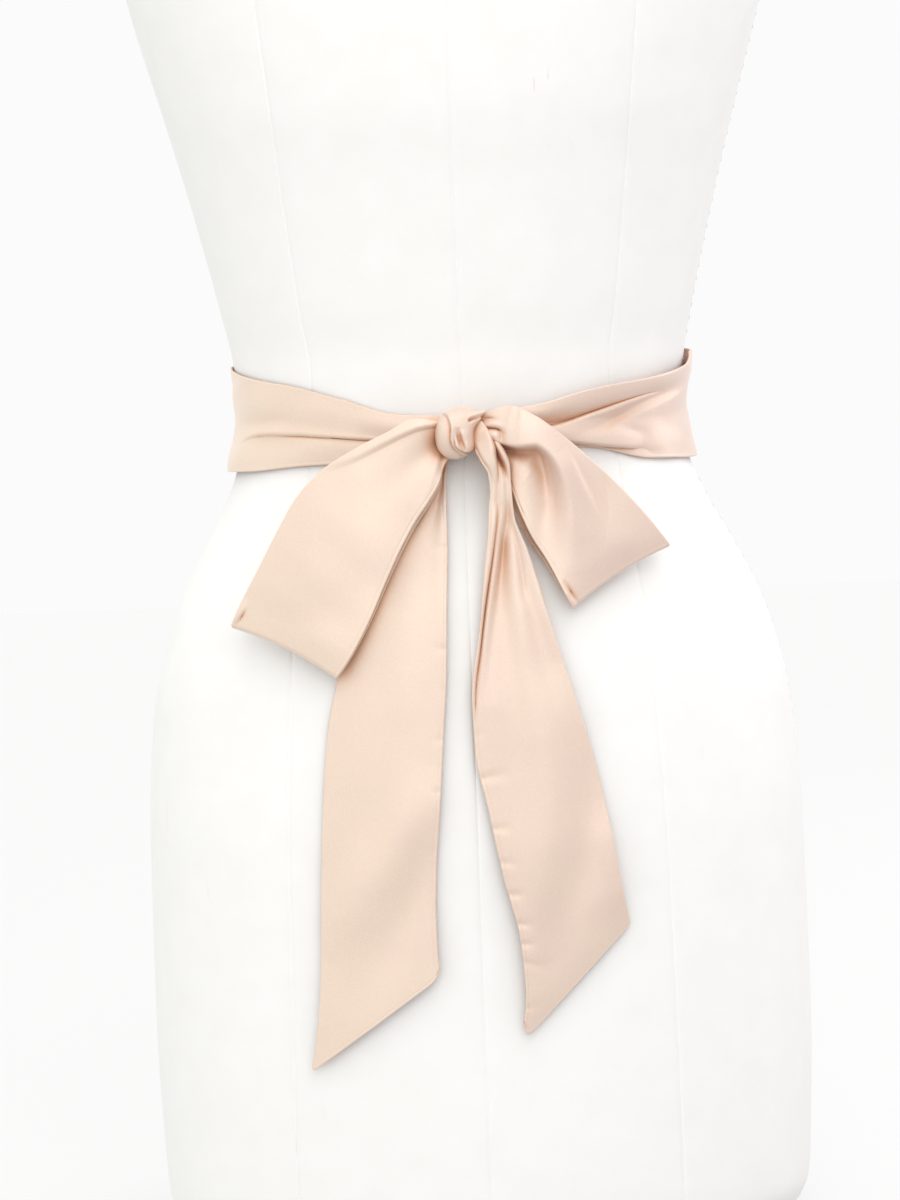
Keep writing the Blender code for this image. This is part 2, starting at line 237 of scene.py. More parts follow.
def height_of_folds(x, z, folds):
    """All the folds of one layer of cloth added up."""
    total = np.zeros_like(x)
    for section, path in folds:
        gap, place = from_path(x, z, path)
        low = np.minimum(place.astype(int), PATH_STEPS - 1)
        part = place - low
        height, left, right = (
            path[name][low] * (1 - part) + path[name][low + 1] * part
            for name in ("height", "left", "right")
        )
        total += height * section(gap, left, right)
    return total


# %% [markdown]
# ## From numbers to a mesh
# Every piece below is worked out as a grid of points in millimetres. Two helpers turn such a grid into
# something that Blender can show: one lists the faces between its rows, and one places an object.

# %% Mesh helpers
def tube_faces(index):
    """Quads round a tube, from the point numbers of its rings."""
    turned = np.roll(index, -1, axis=1)
    return np.stack([index[:-1], turned[:-1], turned[1:], index[1:]], axis=2).reshape(-1, 4)


def sheet_faces(index):
    """Quads over a grid of point numbers."""
    corners = [index[:-1, :-1], index[:-1, 1:], index[1:, 1:], index[1:, :-1]]
    return np.stack(corners, axis=2).reshape(-1, 4)


def place_object(name, data):
    """A new object with its data, in the scene."""
    made = bpy.data.objects.new(name, data)
    bpy.context.scene.collection.objects.link(made)
    return made


# %% [markdown]
# ## From a grid of points to sewn, doubled cloth
# The sash is a flat tube: two plies that meet at its edges. So each stretch is one closed skin about
# a middle surface. The skin is thickest inside and rounds off to nothing at the rim, where the two
# plies meet. Extra rows and columns near the rim keep that rounding crisp.

# %% Cloth skin
RIM = np.array([0, 0.04, 0.16, 0.36, 0.66, 1.0])
RIM_ROUND = 0.8          # distance over which the rim rounds off
HEM_PROFILE = ((0.08, 0.8, 0.8), (-0.2, 1.8, 0.4))   # height, distance from the edge, spread
SEWN_HEM = 0.8           # share of that profile that shows along a sewn edge


def rim_spread(length, count):
    """Distances from 0 to length, close together near both ends."""
    start = RIM * RIM_ROUND
    share = np.linspace(0, 1, count)
    share = share - 0.35 * np.sin(2 * math.pi * share) / (2 * math.pi)
    inside = RIM_ROUND + (length - 2 * RIM_ROUND) * share
    return np.concatenate([start[:-1], inside, length - start[:-1][::-1]])


def hem(distance):
    """The puffed edge and the faint line inside it, where the seam allowance ends."""
    return sum(
        height * np.exp(-(((distance - place) / spread) ** 2)) for height, place, spread in HEM_PROFILE
    )


def rim_rounding(distance):
    """Share of the full thickness at a distance from the rim."""
    inward = np.clip(1 - distance / RIM_ROUND, 0, 1)
    return np.sqrt(1 - inward**2)


def skin(name, middle, thickness, finish, uv):
    """A closed skin about a grid of middle points, with its two sides joined along the rim."""
    along, across = np.gradient(middle, axis=0), np.gradient(middle, axis=1)
    normal = np.cross(along, across)
    normal /= np.maximum(np.linalg.norm(normal, axis=2, keepdims=True), 1e-9)
    rows, columns = middle.shape[:2]
    face_side = middle + normal * thickness[:, :, None] / 2
    back_side = middle - normal * thickness[:, :, None] / 2
    front_index = np.arange(rows * columns).reshape(rows, columns)
    back_index = np.full((rows, columns), -1)
    back_index[1:-1, 1:-1] = rows * columns + np.arange((rows - 2) * (columns - 2)).reshape(rows - 2, -1)
    back_index[back_index < 0] = front_index[back_index < 0]
    points = np.concatenate([face_side.reshape(-1, 3), back_side[1:-1, 1:-1].reshape(-1, 3)])
    faces = np.concatenate([sheet_faces(front_index), sheet_faces(back_index)[:, ::-1]])
    mesh = bpy.data.meshes.new(name)
    mesh.from_pydata((points * MM).tolist(), [], faces.tolist())
    layer = mesh.uv_layers.new(name="cloth")
    uv_all = np.concatenate([uv.reshape(-1, 2), uv[1:-1, 1:-1].reshape(-1, 2)])
    layer.data.foreach_set("uv", uv_all[faces.reshape(-1)].astype(np.float32).reshape(-1))
    corner = [points[faces[:, k]] for k in range(4)]
    volume = sum((corner[0] * np.cross(corner[k], corner[k + 1])).sum() for k in (1, 2))
    if volume < 0:
        mesh.flip_normals()
    mesh.shade_smooth()
    mesh.materials.append(finish)
    print(name, len(faces) * 2, "triangles")
    return place_object(name, mesh)


def strip(name, middle, distance, run, ends=1.0):
    """A stretch of the sash, rounded off at both edges, with its UV map laid out flat in metres."""
    thickness = CLOTH * rim_rounding(np.minimum(distance, distance[:, -1:] - distance)) * ends
    thickness[[0, -1]] = 0
    uv = np.stack([distance, np.broadcast_to(run[:, None], distance.shape)], axis=2) * MM
    return skin(name, middle, thickness, satin, uv)


# %% [markdown]
# ## Small unevenness
# No hand-tied cloth is perfectly fair. A sum of a few slow waves, with fixed phases, gives each
# stretch its own slight unevenness, and it is the same every time the script runs.

# %% Slow unevenness
def unevenness(x, z, size, seed):
    """Smooth values between about -1 and 1 that wander over a distance of size."""
    phases = np.random.default_rng(seed).uniform(0, 2 * math.pi, (6, 2))
    total = np.zeros_like(x)
    for k, (first, second) in enumerate(phases):
        turn = first + 0.6 * k
        pace = 2 * math.pi / (size * (0.7 + 0.22 * k))
        total += np.sin((x * math.cos(turn) + z * math.sin(turn)) * pace + second) / 3
    return total


# %% [markdown]
# ## Wiring a material
# A finish is a small network: textures give numbers, ramps turn numbers into colours, and a Principled
# BSDF uses them. A few helpers keep the wiring short. An input that is given another node's socket is
# linked to it, and an input that is given a number or a colour is set to it.

# %% Material helpers
def new_material(name):
    """A new material, its node tree and its shader."""
    made = bpy.data.materials.new(name)
    made.use_nodes = True
    return made, made.node_tree, made.node_tree.nodes["Principled BSDF"]


def feed(tree, node, inputs):
    """Link the inputs that are given a socket, and set the others."""
    for name, value in inputs.items():
        if isinstance(value, bpy.types.NodeSocket):
            tree.links.new(value, node.inputs[name])
        else:
            node.inputs[name].default_value = value


def add_node(tree, kind, inputs=None, **settings):
    """A new node with its settings and its inputs."""
    node = tree.nodes.new("ShaderNode" + kind)
    for name, value in settings.items():
        setattr(node, name, value)
    feed(tree, node, inputs or {})
    return node


def noise(tree, vector, scale, detail):
    """The value of a noise texture."""
    made = add_node(tree, "TexNoise", {"Vector": vector, "Scale": scale, "Detail": detail})
    return made.outputs["Fac"]


def ramp(tree, value, *stops):
    """Colours at places from 0 to 1, and a blend between them."""
    node = add_node(tree, "ValToRGB", {"Fac": value})
    elements = node.color_ramp.elements
    for element, (position, colour) in zip(elements, (stops[0], stops[-1])):
        element.position = position
        element.color = (*colour, 1)
    for position, colour in stops[1:-1]:
        elements.new(position).color = (*colour, 1)
    return node.outputs["Color"]


# %% [markdown]
# ## The colour of the satin
# The dye drifts slowly between cream on the left and blush on the right, as woven silk does in a room
# with warm walls. Between folds the light has bounced off satin before it comes out, so the colour
# there is deeper. An Ambient Occlusion node says how closed in a place is, and a ramp turns that into
# the deeper colour. It measures the cloth itself, so it looks the same from every side.

# %% Satin colour
# the satin's colour at the left and at the right, each with a painted tint of the light that falls there
SATIN_WARM_LIT = (0.775, 0.632, 0.515)
SATIN_ROSY_LIT = (0.735, 0.578, 0.495)
PAINTED_SHADE_HALF = (0.90, 0.70, 0.55)     # painted shade: what is left of the colour on the slope of a fold
PAINTED_SHADE_DEEP = (0.52, 0.25, 0.13)     # painted shade at the bottom of a fold
PAINTED_SHADE_REACH = 0.009                 # how far the painted shade reaches into the folds
LIGHT_TINT_DRIFT = 3.0                        # how fast the painted tint of the light changes from left to right
CLOUD_SCALE = 30.0                 # slow patches of the dye
GRAIN_SCALE = 1500.0               # spots of a millimetre or less on the face of the satin


def satin_colour_with_painted_light(tree, place, grain):
    side = add_node(tree, "SeparateXYZ", {"Vector": place})
    cloud = noise(tree, place, CLOUD_SCALE, 3.0)
    # painted tint of the light: the colour shifts with X from the warm-lit left to the rosy-lit right
    light_drift = add_node(tree, "Math", {0: side.outputs["X"], 1: LIGHT_TINT_DRIFT, 2: cloud}, operation="MULTIPLY_ADD")
    tint = ramp(tree, light_drift.outputs["Value"], (0.2, SATIN_WARM_LIT), (0.8, SATIN_ROSY_LIT))
    # painted shade: Ambient Occlusion darkens the colour to orange-brown in creases and hollows
    near = add_node(tree, "AmbientOcclusion", {"Distance": PAINTED_SHADE_REACH}, samples=6)
    depth = ramp(tree, near.outputs["AO"], (0.2, PAINTED_SHADE_DEEP), (0.6, PAINTED_SHADE_HALF), (0.95, (1, 1, 1)))
    deep = add_node(tree, "VectorMath", {0: tint, 1: depth}, operation="MULTIPLY")
    lively = {"Value": grain, "From Min": 0.3, "From Max": 0.7, "To Min": 0.97, "To Max": 1.03}
    shade = add_node(tree, "MapRange", lively)
    speckled = {0: deep.outputs["Vector"], "Scale": shade.outputs["Result"]}
    return add_node(tree, "VectorMath", speckled, operation="SCALE").outputs["Vector"]


# %% [markdown]
# ## Satin
# Satin has a smooth face of long floating threads, so its gloss is soft and stretched across the
# threads. The shader is a Principled BSDF with a moderate roughness, anisotropy along the cloth and a
# little sheen. The threads are a noise drawn out along the cloth, which moves the bump and the gloss.

# %% Satin material
THREADS = (2600, 700, 1)           # threads across and along a metre of cloth
THREAD_HEIGHT = 0.0002


def satin_material():
    made, tree, shader = new_material("satin")
    place = add_node(tree, "TexCoord").outputs["Object"]
    cloth = add_node(tree, "UVMap", uv_map="cloth")
    drawn_out = add_node(tree, "Mapping", {"Vector": cloth.outputs["UV"], "Scale": THREADS})
    threads = noise(tree, drawn_out.outputs["Vector"], 1.0, 2.0)
    grain = noise(tree, place, GRAIN_SCALE, 1.0)
    gloss = add_node(tree, "MapRange", {"Value": threads, "To Min": 0.38, "To Max": 0.56})
    weave = add_node(tree, "Math", {0: threads, 1: grain}, operation="ADD")
    raised = {"Height": weave.outputs["Value"], "Strength": 0.13, "Distance": THREAD_HEIGHT}
    bump = add_node(tree, "Bump", raised)
    tangent = add_node(tree, "Tangent", direction_type="UV_MAP", uv_map="cloth")
    feed(tree, shader, {
        "Base Color": satin_colour_with_painted_light(tree, place, grain),
        "Roughness": gloss.outputs["Result"],
        "Normal": bump.outputs["Normal"],
        "Tangent": tangent.outputs["Tangent"],
        "Anisotropic": 0.6,
        "Specular IOR Level": 0.6,
        "Metallic": 0.2,
        "Sheen Weight": 0.2,
        "Sheen Roughness": 0.4,
    })
    return made


satin = satin_material()
print("satin:", len(satin.node_tree.nodes), "nodes")


# %% [markdown]
# ## Painted canvas
# The form is covered in linen canvas and painted white with a brush. The weave still shows faintly
# through the paint, and the paint is matt and a little uneven. Two crossed wave textures make the
# weave and a noise makes the brushed unevenness, mostly in the bump. In a few places the paint has
# worn along the upright threads: there a noise drawn out upwards darkens it to fine tan hairlines.

# %% Canvas material
WEAVE_SCALE = 420.0                # threads in a metre, one way
PAINT_SCALE = 55.0                 # brush marks in a metre
PAINT_HEIGHT = 0.0004
HAIR_SCALE = (300, 300, 12)        # hairlines are thin and long
PATCH_SCALE = 14.0                 # the places where the paint is worn
WORN = (0.84, 0.76, 0.68)


def canvas_threads(tree, place, axis):
    rows = {"Vector": place, "Scale": WEAVE_SCALE, "Distortion": 5.0, "Detail": 2.0, "Detail Scale": 1.4}
    return add_node(tree, "TexWave", rows, bands_direction=axis).outputs["Fac"]


def worn_paint(tree, place):
    """White, with a few tan hairlines."""
    upright = add_node(tree, "Mapping", {"Vector": place, "Scale": HAIR_SCALE})
    hairs = noise(tree, upright.outputs["Vector"], 1.0, 2.0)
    patches = noise(tree, place, PATCH_SCALE, 2.0)
    rare = add_node(tree, "Math", {0: hairs, 1: patches}, operation="MULTIPLY")
    return ramp(tree, rare.outputs["Value"], (0.47, (1, 1, 1)), (0.55, WORN))


def canvas_material(name, white, weave_strength):
    made, tree, shader = new_material(name)
    place = add_node(tree, "TexCoord").outputs["Object"]
    crossed = {0: canvas_threads(tree, place, "X"), 1: canvas_threads(tree, place, "Z")}
    weave = add_node(tree, "Math", crossed, operation="MULTIPLY")
    brushed = noise(tree, place, PAINT_SCALE, 6.0)
    height = add_node(tree, "Math", {0: weave.outputs["Value"], 1: brushed}, operation="ADD")
    raised = {"Height": height.outputs["Value"], "Strength": weave_strength, "Distance": PAINT_HEIGHT}
    bump = add_node(tree, "Bump", raised)
    thin = (white * 0.97, white * 0.97, white * 0.955)
    tint = ramp(tree, brushed, (0.25, thin), (0.75, (white, white, white * 0.99)))
    painted = add_node(tree, "VectorMath", {0: tint, 1: worn_paint(tree, place)}, operation="MULTIPLY")
    feed(tree, shader, {
        "Base Color": painted.outputs["Vector"],
        "Normal": bump.outputs["Normal"],
        "Roughness": 0.72,
        "Specular IOR Level": 0.25,
    })
    return made


canvas = canvas_material("painted_canvas", 0.85, 0.07)
cap_paint = canvas_material("cap_paint", 0.85, 0.05)
thread = canvas_material("grey_thread", 0.66, 0.3)
print("canvas:", len(canvas.node_tree.nodes), "nodes")


# %% [markdown]
# ## The torso
# The canvas cover is cut in panels that meet at eight seams: centre front and back, the sides, and a
# curved princess seam between them on each quarter. The columns of the mesh gather at the seams, so
# that a seam can be a real, shallow groove. The ends where arms would start are cut off flat.

# %% Seams and level rings
PRINCESS = table(
    "height across",
    (0, 80),
    (12, 92),
    (180, 90),
    (300, 84),
    (365, 75),
    (425, 71.5),
    (455, 75.5),
    (560, 86),
    (610, 90),
    (700, 88),
    (770, 76),
    (805, 56),
    (830, 34),
    (880, 27),
)
SEAM_OFFSETS = np.array([-1.6, -0.7, 0.0, 0.7, 1.6])
SEAM_DEPTHS = np.array([0.0, 0.2, 0.55, 0.2, 0.0])
PANEL_COLUMNS = 19
TORSO_ROWS = 230


def seam_angles(height):
    """Angles of the eight seams at a height, from the centre front round to the right and back."""
    across = float(smooth(PRINCESS["height"], PRINCESS["across"], height))
    half_width, front, back = (float(v) for v in form_section(height))
    share = min(across / half_width, 0.97)
    level = (1 - share**ROUNDNESS) ** (1 / ROUNDNESS)
    front_seam = math.atan2(across, front * level)
    back_seam = math.pi - math.atan2(across, back * level)
    right = [front_seam, math.pi / 2, back_seam]
    return [0.0, *right, math.pi, *(2 * math.pi - a for a in reversed(right))]


def torso_row(height):
    """One level ring of the torso, with its columns gathered at the seams."""
    seams = seam_angles(height) + [2 * math.pi]
    x, y = form_ring(np.array(seams), np.full(len(seams), height))
    reach = np.hypot(x, y)
    angles, depths = [], []
    for k in range(len(seams) - 1):
        start = seams[k] + SEAM_OFFSETS[-1] / reach[k]
        stop = seams[k + 1] + SEAM_OFFSETS[0] / reach[k + 1]
        angles += list(seams[k] + SEAM_OFFSETS[2:-1] / reach[k])
        depths += list(SEAM_DEPTHS[2:-1])
        angles += list(np.linspace(start, stop, PANEL_COLUMNS))
        depths += [0.0] * PANEL_COLUMNS
        angles += list(seams[k + 1] + SEAM_OFFSETS[1:2] / reach[k + 1])
        depths += list(SEAM_DEPTHS[1:2])
    angle = np.array(angles)
    level = np.full(len(angle), height)
    x, y = form_ring(angle, level)
    out_x, out_y = form_outward(x, y, level)
    x = np.clip(x - out_x * depths, -ARM_PLANE, ARM_PLANE)
    return np.stack([x, y - out_y * depths, level], axis=1)


print("seams at the waist, in degrees:", [round(math.degrees(a)) for a in seam_angles(float(WAIST))])


# %% [markdown]
# ## Stitches in the side seam
# The right side seam is closed by hand, with slanted overcast stitches in grey thread. Each stitch is
# a short tube that rises over the seam and dips into the canvas at both ends.

# %% Stitches
STITCH_PLACES = np.concatenate([np.arange(60, 372, 6.5), np.arange(440, 690, 6.5)])
STITCH_SIDES = 6
STITCH_RINGS = 7
STITCH_REACH = 2.6       # to either side of the seam
STITCH_SLANT = 1.5
STITCH_THICK = 0.35
STITCH_FACES = tube_faces(np.arange(STITCH_RINGS * STITCH_SIDES).reshape(STITCH_RINGS, STITCH_SIDES))


def stitch(height):
    """One slanted overcast stitch across the right side seam: a thread that dips in at both ends."""
    along = np.linspace(-1, 1, STITCH_RINGS)
    level = height + along * STITCH_SLANT
    angle = math.pi / 2 + along * STITCH_REACH / form_section(height)[0]
    x, y = form_ring(angle, level)
    out_x, out_y = form_outward(x, y, level)
    lift = STITCH_THICK * (1.2 - 2.4 * along**4)
    turn = np.linspace(0, 2 * math.pi, STITCH_SIDES, endpoint=False)
    out = lift[:, None] + STITCH_THICK * np.cos(turn)
    up = STITCH_THICK * np.sin(turn)
    ring_x = x[:, None] + out_x[:, None] * out
    ring_y = y[:, None] + out_y[:, None] * out
    return np.stack([ring_x, ring_y, level[:, None] + up], axis=2).reshape(-1, 3)


print(len(STITCH_PLACES), "stitches")


# %% [markdown]
# ## The torso as one mesh
# The rings are stacked from the underside to the neck, with extra ones where the lower edge rounds
# off. The underside and the top are closed flat. The stitches are part of the same mesh with a
# finish of their own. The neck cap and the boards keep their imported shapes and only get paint.

# %% Torso
FOOT = 22.0              # the lower edge rounds off below this height
FOOT_ROWS = 16
CRISP = math.radians(50)  # an edge that turns more than this stays sharp


def build_torso():
    low_rows = FOOT * (1 - np.cos(np.linspace(0, math.pi / 2, FOOT_ROWS)))
    heights = np.concatenate([low_rows, np.linspace(FOOT, FORM["height"][-1], TORSO_ROWS)[1:]])
    rings = np.array([torso_row(float(h)) for h in heights])
    index = np.arange(rings[:, :, 0].size).reshape(rings.shape[:2])
    faces = tube_faces(index).tolist() + [index[0][::-1].tolist(), index[-1].tolist()]
    body_faces = len(faces)
    points = [rings.reshape(-1, 3)]
    for place in STITCH_PLACES:
        faces += (STITCH_FACES + sum(len(p) for p in points)).tolist()
        points.append(stitch(float(place)))
    mesh = bpy.data.meshes.new("torso")
    mesh.from_pydata((np.concatenate(points) * MM).tolist(), [], faces)
    mesh.shade_smooth()
    mesh.set_sharp_from_angle(angle=CRISP)
    mesh.materials.append(canvas)
    mesh.materials.append(thread)
    slots = np.zeros(len(faces), dtype=np.int32)
    slots[body_faces:] = 1
    mesh.polygons.foreach_set("material_index", slots)
    print("torso", len(faces), "faces")
    return place_object("torso", mesh)


torso = build_torso()
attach(torso, "root")
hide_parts("form_body")
for node in ("form_neck_cap", "form_arm_plate_left", "form_arm_plate_right"):
    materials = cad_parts[node].data.materials
    materials.clear()
    materials.append(cap_paint)


# %% [markdown]
# ## The band round the waist
# The middle of the sash goes once round the waist. It is full width at the sides and back, and it is
# bunched where the knot pulls it together. Each row below gives an angle from the front, round to the
# right, the heights of both edges above the waist line, and how far the two halves swell out.

# %% Band sections
BAND = table(
    "angle top bottom swell",
    (-2, -3, -21, 0.8),
    (10, -1, -20, 1.6),
    (20, 0.5, -19, 1.6),
    (34, 7, -20, 1.2),
    (54, 12, -27, 0.8),
    (72, 18, -27.5, 0.8),
    (90, 25.5, -27, 0.8),
    (130, 28, -28, 1.0),
    (180, 28, -28.5, 1.0),
    (230, 28, -28, 1.0),
    (270, 25.5, -26.5, 0.6),
    (290, 20.5, -26.5, 0.6),
    (309, 15, -25, 0.8),
    (326, 7, -24, 0.9),
    (340, -0.8, -24, 1.0),
    (350, -2, -23, 1.0),
    (357, -2.5, -22, 0.8),
)
BAND_CLEAR = 1.2
BAND_ACROSS = 86
MM_PER_DEGREE = 1.8      # along the band
print("band height at the sides:", BAND["top"][6] - BAND["bottom"][6], "mm")


# %% [markdown]
# ## Folds of the band
# The folds fan out from the knot. They are tabled by angle round the form and height above the waist
# line. The right side of the knot has two deep pleats, the left side one long thin pleat, and the
# hidden back gets two shallow pleats of the same kind.

# %% Band folds
def band_fold(section, *rows):
    """A fold of the band, tabled by angle, with its path turned into millimetres."""
    return fold(section, *((row[0] * MM_PER_DEGREE, *row[1:]) for row in rows))


BAND_FOLDS = [
    # right of the knot: the upper pleat, the trough under it and the light ridge below
    band_fold(lap, (60, 5.2, 0, 5, 3), (52, 3.1, 1.0, 6, 3), (46, 0.6, 1.6, 6, 3), (37, -4, 2.2, 6, 3),
              (25, -9.9, 2.2, 6, 3), (8, -13, 1.2, 5, 2)),
    band_fold(bell, (12, 0, 1, 6, 7), (24, 4, 4.2, 7, 8), (38, 9, 5.4, 8, 9), (54, 13, 4.8, 8, 9),
              (70, 18, 2.6, 8, 9), (86, 24, 0, 8, 8)),
    band_fold(bell, (30, -14, 0, 3, 3), (38, -11.1, -1.0, 3, 2.6), (50, -1, -1.6, 4, 2.4),
              (60, 4.6, -1.1, 4, 2.6), (70, 9, 0, 4, 3)),
    band_fold(bell, (36, -16, 0, 2, 6), (44, -10.5, 0.5, 1.6, 6), (52, -4.8, 1.1, 1.4, 7),
              (64, 1.5, 0.9, 1.6, 8), (80, 8, 0, 3, 9)),
    # and the lower pleat with its pocket
    band_fold(lap, (22, -15, 1.4, 7, 2), (30, -17.2, 2.6, 8, 2.5), (38, -19.2, 2.8, 8, 3),
              (45, -20.6, 2.0, 8, 3), (51, -22.6, 0, 7, 3)),
    band_fold(bell, (30, -19.6, 0, 1.4, 2), (40, -22.2, -2.0, 1.6, 2.2), (48, -23.6, -2.4, 2.2, 2.4),
              (54, -24.6, -0.8, 3, 3), (60, -25, 0, 3, 3)),
    band_fold(bell, (40, -10, 0, 3, 3), (48, -12.8, -0.5, 2.5, 2.5), (55, -16, 0, 3, 3)),
    band_fold(bell, (56, -9, 0, 4, 4), (66, -13, -0.5, 4, 4), (80, -20, 0, 4, 4)),
    # left of the knot: the long thin pleat, its trough above and the soft fall below
    band_fold(lap, (288, -12.5, 0, 6, 3), (295, -9.2, 0.7, 7, 3), (301, -8.2, 1.2, 9, 2.5),
              (312, -8.8, 1.3, 10, 2), (321, -10.1, 1.3, 10, 2), (333, -12.2, 1.4, 9, 2),
              (354, -15, 1.2, 7, 2)),
    band_fold(bell, (282, -4, 0, 3, 4), (294, -3.6, -0.7, 4, 4), (304, -2.8, -1.0, 4, 3),
              (316, -4, 0, 4, 4)),
    band_fold(bell, (290, -15, 0, 4, 4), (300, -12.6, -0.7, 3, 5), (316, -15, 0, 4, 5)),
    # the edges stand away from the hollow of the waist at both sides
    band_fold(bell, (236, 24, 0, 9, 9), (252, 25, -1.6, 10, 10), (272, 23, -1.6, 10, 10),
              (290, 19, 0, 8, 8)),
    band_fold(bell, (248, -22, 0, 7, 7), (262, -22, 2.8, 9, 8), (278, -23, 2.8, 9, 8),
              (300, -22, 0, 8, 8)),
    band_fold(bell, (70, 15, 0, 6, 6), (86, 18, 1.3, 7, 6), (98, 26, 3.2, 6, 6), (116, 28, 0, 6, 6)),
    band_fold(bell, (72, -24, 0, 7, 6), (86, -26, 1.6, 8, 6), (104, -27, 0, 8, 6)),
    # similar pleats on the hidden back
    band_fold(lap, (110, -6, 0, 8, 4), (134, -9, 1.5, 10, 3), (165, -7, 1.8, 11, 2.5),
              (190, -9.5, 1.3, 10, 3), (212, -8, 0, 8, 4)),
    band_fold(bell, (126, -14, 0, 5, 5), (150, -16, -0.8, 4, 5), (182, -14, 0, 5, 5)),
    band_fold(bell, (140, 12, 0, 6, 6), (176, 8, 1.0, 7, 7), (214, 12, 0, 6, 6)),
    band_fold(lap, (256, 2, 0, 7, 4), (238, 4.5, 1.3, 8, 3), (218, 3, 1.2, 8, 3), (200, 5, 0, 7, 4)),
    band_fold(bell, (206, 16, 0, 6, 6), (230, 14, -1.0, 6, 6), (252, 16, 0, 6, 6)),
]
print(len(BAND_FOLDS), "folds in the band")


# %% [markdown]
# ## The band as one skin
# The middle of the cloth follows the form's level sections at a small clearance. The folds and the
# sewn lower edge are added straight out of the form, and nothing is let closer than the form's paint.

# %% Band
EDGE_WANDER = 0.3        # how far both edges wander up and down
BAND_HEM = 0.3
BAND_UNEVEN = 0.22
BAND_LEAST = 0.7         # the cloth never lies closer to the form than this


def band_angles():
    """Angles round the form, closest together at the front, where the folds gather."""
    side = np.concatenate([np.linspace(0, 80, 130), np.linspace(80, 180, 62)[1:]])
    both = np.concatenate([side, (360 - side[::-1])[1:]])
    first, last = BAND["angle"][0], BAND["angle"][-1]
    return np.concatenate([[first], both[(both > first) & (both < last)], [last]])


def build_band():
    angles = band_angles()
    top = smooth(BAND["angle"], BAND["top"], angles)
    bottom = smooth(BAND["angle"], BAND["bottom"], angles)
    swell = smooth(BAND["angle"], BAND["swell"], angles)
    width = top - bottom
    drop = np.array([rim_spread(w, BAND_ACROSS) for w in width])
    down = drop / width[:, None]
    height = top[:, None] - drop
    angle = np.broadcast_to(angles[:, None], height.shape)
    along = angle * MM_PER_DEGREE
    height = height + EDGE_WANDER * unevenness(along, 0 * along, 46, 3)
    x, y = form_ring(np.radians(angle), WAIST + height)
    out_x, out_y = form_outward(x, y, WAIST + height)
    out = BAND_CLEAR + CLOTH / 2 + swell[:, None] * np.abs(np.sin(2 * math.pi * down)) ** 1.5
    out = out + height_of_folds(along, height, BAND_FOLDS) + BAND_HEM * hem(width[:, None] - drop)
    out = np.maximum(out + BAND_UNEVEN * unevenness(along, height, 24, 5), BAND_LEAST + CLOTH / 2)
    middle = np.stack([x + out_x * out, y + out_y * out, WAIST + height], axis=2)
    thickness = CLOTH * rim_rounding(np.minimum(drop, width[:, None] - drop))
    thickness[[0, -1]] = 0
    uv = np.stack([down * SASH_WIDTH * MM, along * MM], axis=2)
    return skin("waist_band", middle, thickness, satin, uv)


band = build_band()
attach(band, "root")
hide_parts("sash_band")


# %% [markdown]
# ## The two loops
# A bow loop is the same strip, led out of the knot, turned back on itself and led in again. Its front
# layer is tabled from the knot to the turn: the outer edge, the inner edge, and how far each lies in
# front of the form's axis. The turn is half a circle, and the back layer follows the front one a
# little narrower, so that only the front layer and a thin line of the back one show.

# %% Loop sections
LOOP_COLUMNS = "outer_x outer_z outer_forward inner_x inner_z inner_forward belly"
LOOP_LEFT = table(
    LOOP_COLUMNS,
    (-3, -7, 108, -4, -19, 108, 0),
    (-12, -5, 109.5, -9.8, -27, 108.5, 0.2),
    (-22, -3.5, 110, -12, -34, 110, 1.0),
    (-36, -9.5, 110, -17.5, -43, 111, 2.0),
    (-52, -17, 109.5, -24, -52, 112, 2.8),
    (-67, -26, 109.5, -31, -64, 115, 3),
    (-79, -38, 109, -39, -80, 117.5, 3.2),
    (-89, -54, 108.5, -46, -95, 119.5, 3),
    (-99, -72, 107.5, -53, -108, 121, 2.5),
    (-107, -86, 106.5, -59, -117.5, 121.5, 1.5),
    (-112, -96, 106, -62, -121.5, 122, 1),
)
LOOP_RIGHT = table(
    LOOP_COLUMNS,
    (-3, -6, 107, -2, -18, 107, 0),
    (6, -3.5, 108.5, 6, -20, 108, 0.3),
    (13, -1, 109.5, 13, -24, 108.5, 0.5),
    (22, 1, 110, 18, -28, 109, 0.5),
    (33, -3.5, 110, 21, -36, 110, 1),
    (45, -12.5, 109.5, 25, -48, 111.5, 1.5),
    (59, -25, 108, 30, -60, 113, 2),
    (73, -39, 105.5, 37, -72, 114.5, 2),
    (86, -54, 103, 42.5, -83, 116.5, 1.5),
    (95.5, -66.5, 100, 47.5, -93.5, 118.5, 1),
)
print("loop rows:", len(LOOP_LEFT["belly"]), "left and", len(LOOP_RIGHT["belly"]), "right")


# %% [markdown]
# ## Folds of the loops
# The upper edge of the left loop is turned over into a slim roll. The right loop has one great roll
# that comes crisp out of the knot, goes round a deep hollow and softens towards the end. Both loops
# are hollow beside the knot, and at both ends a corner curls forward.

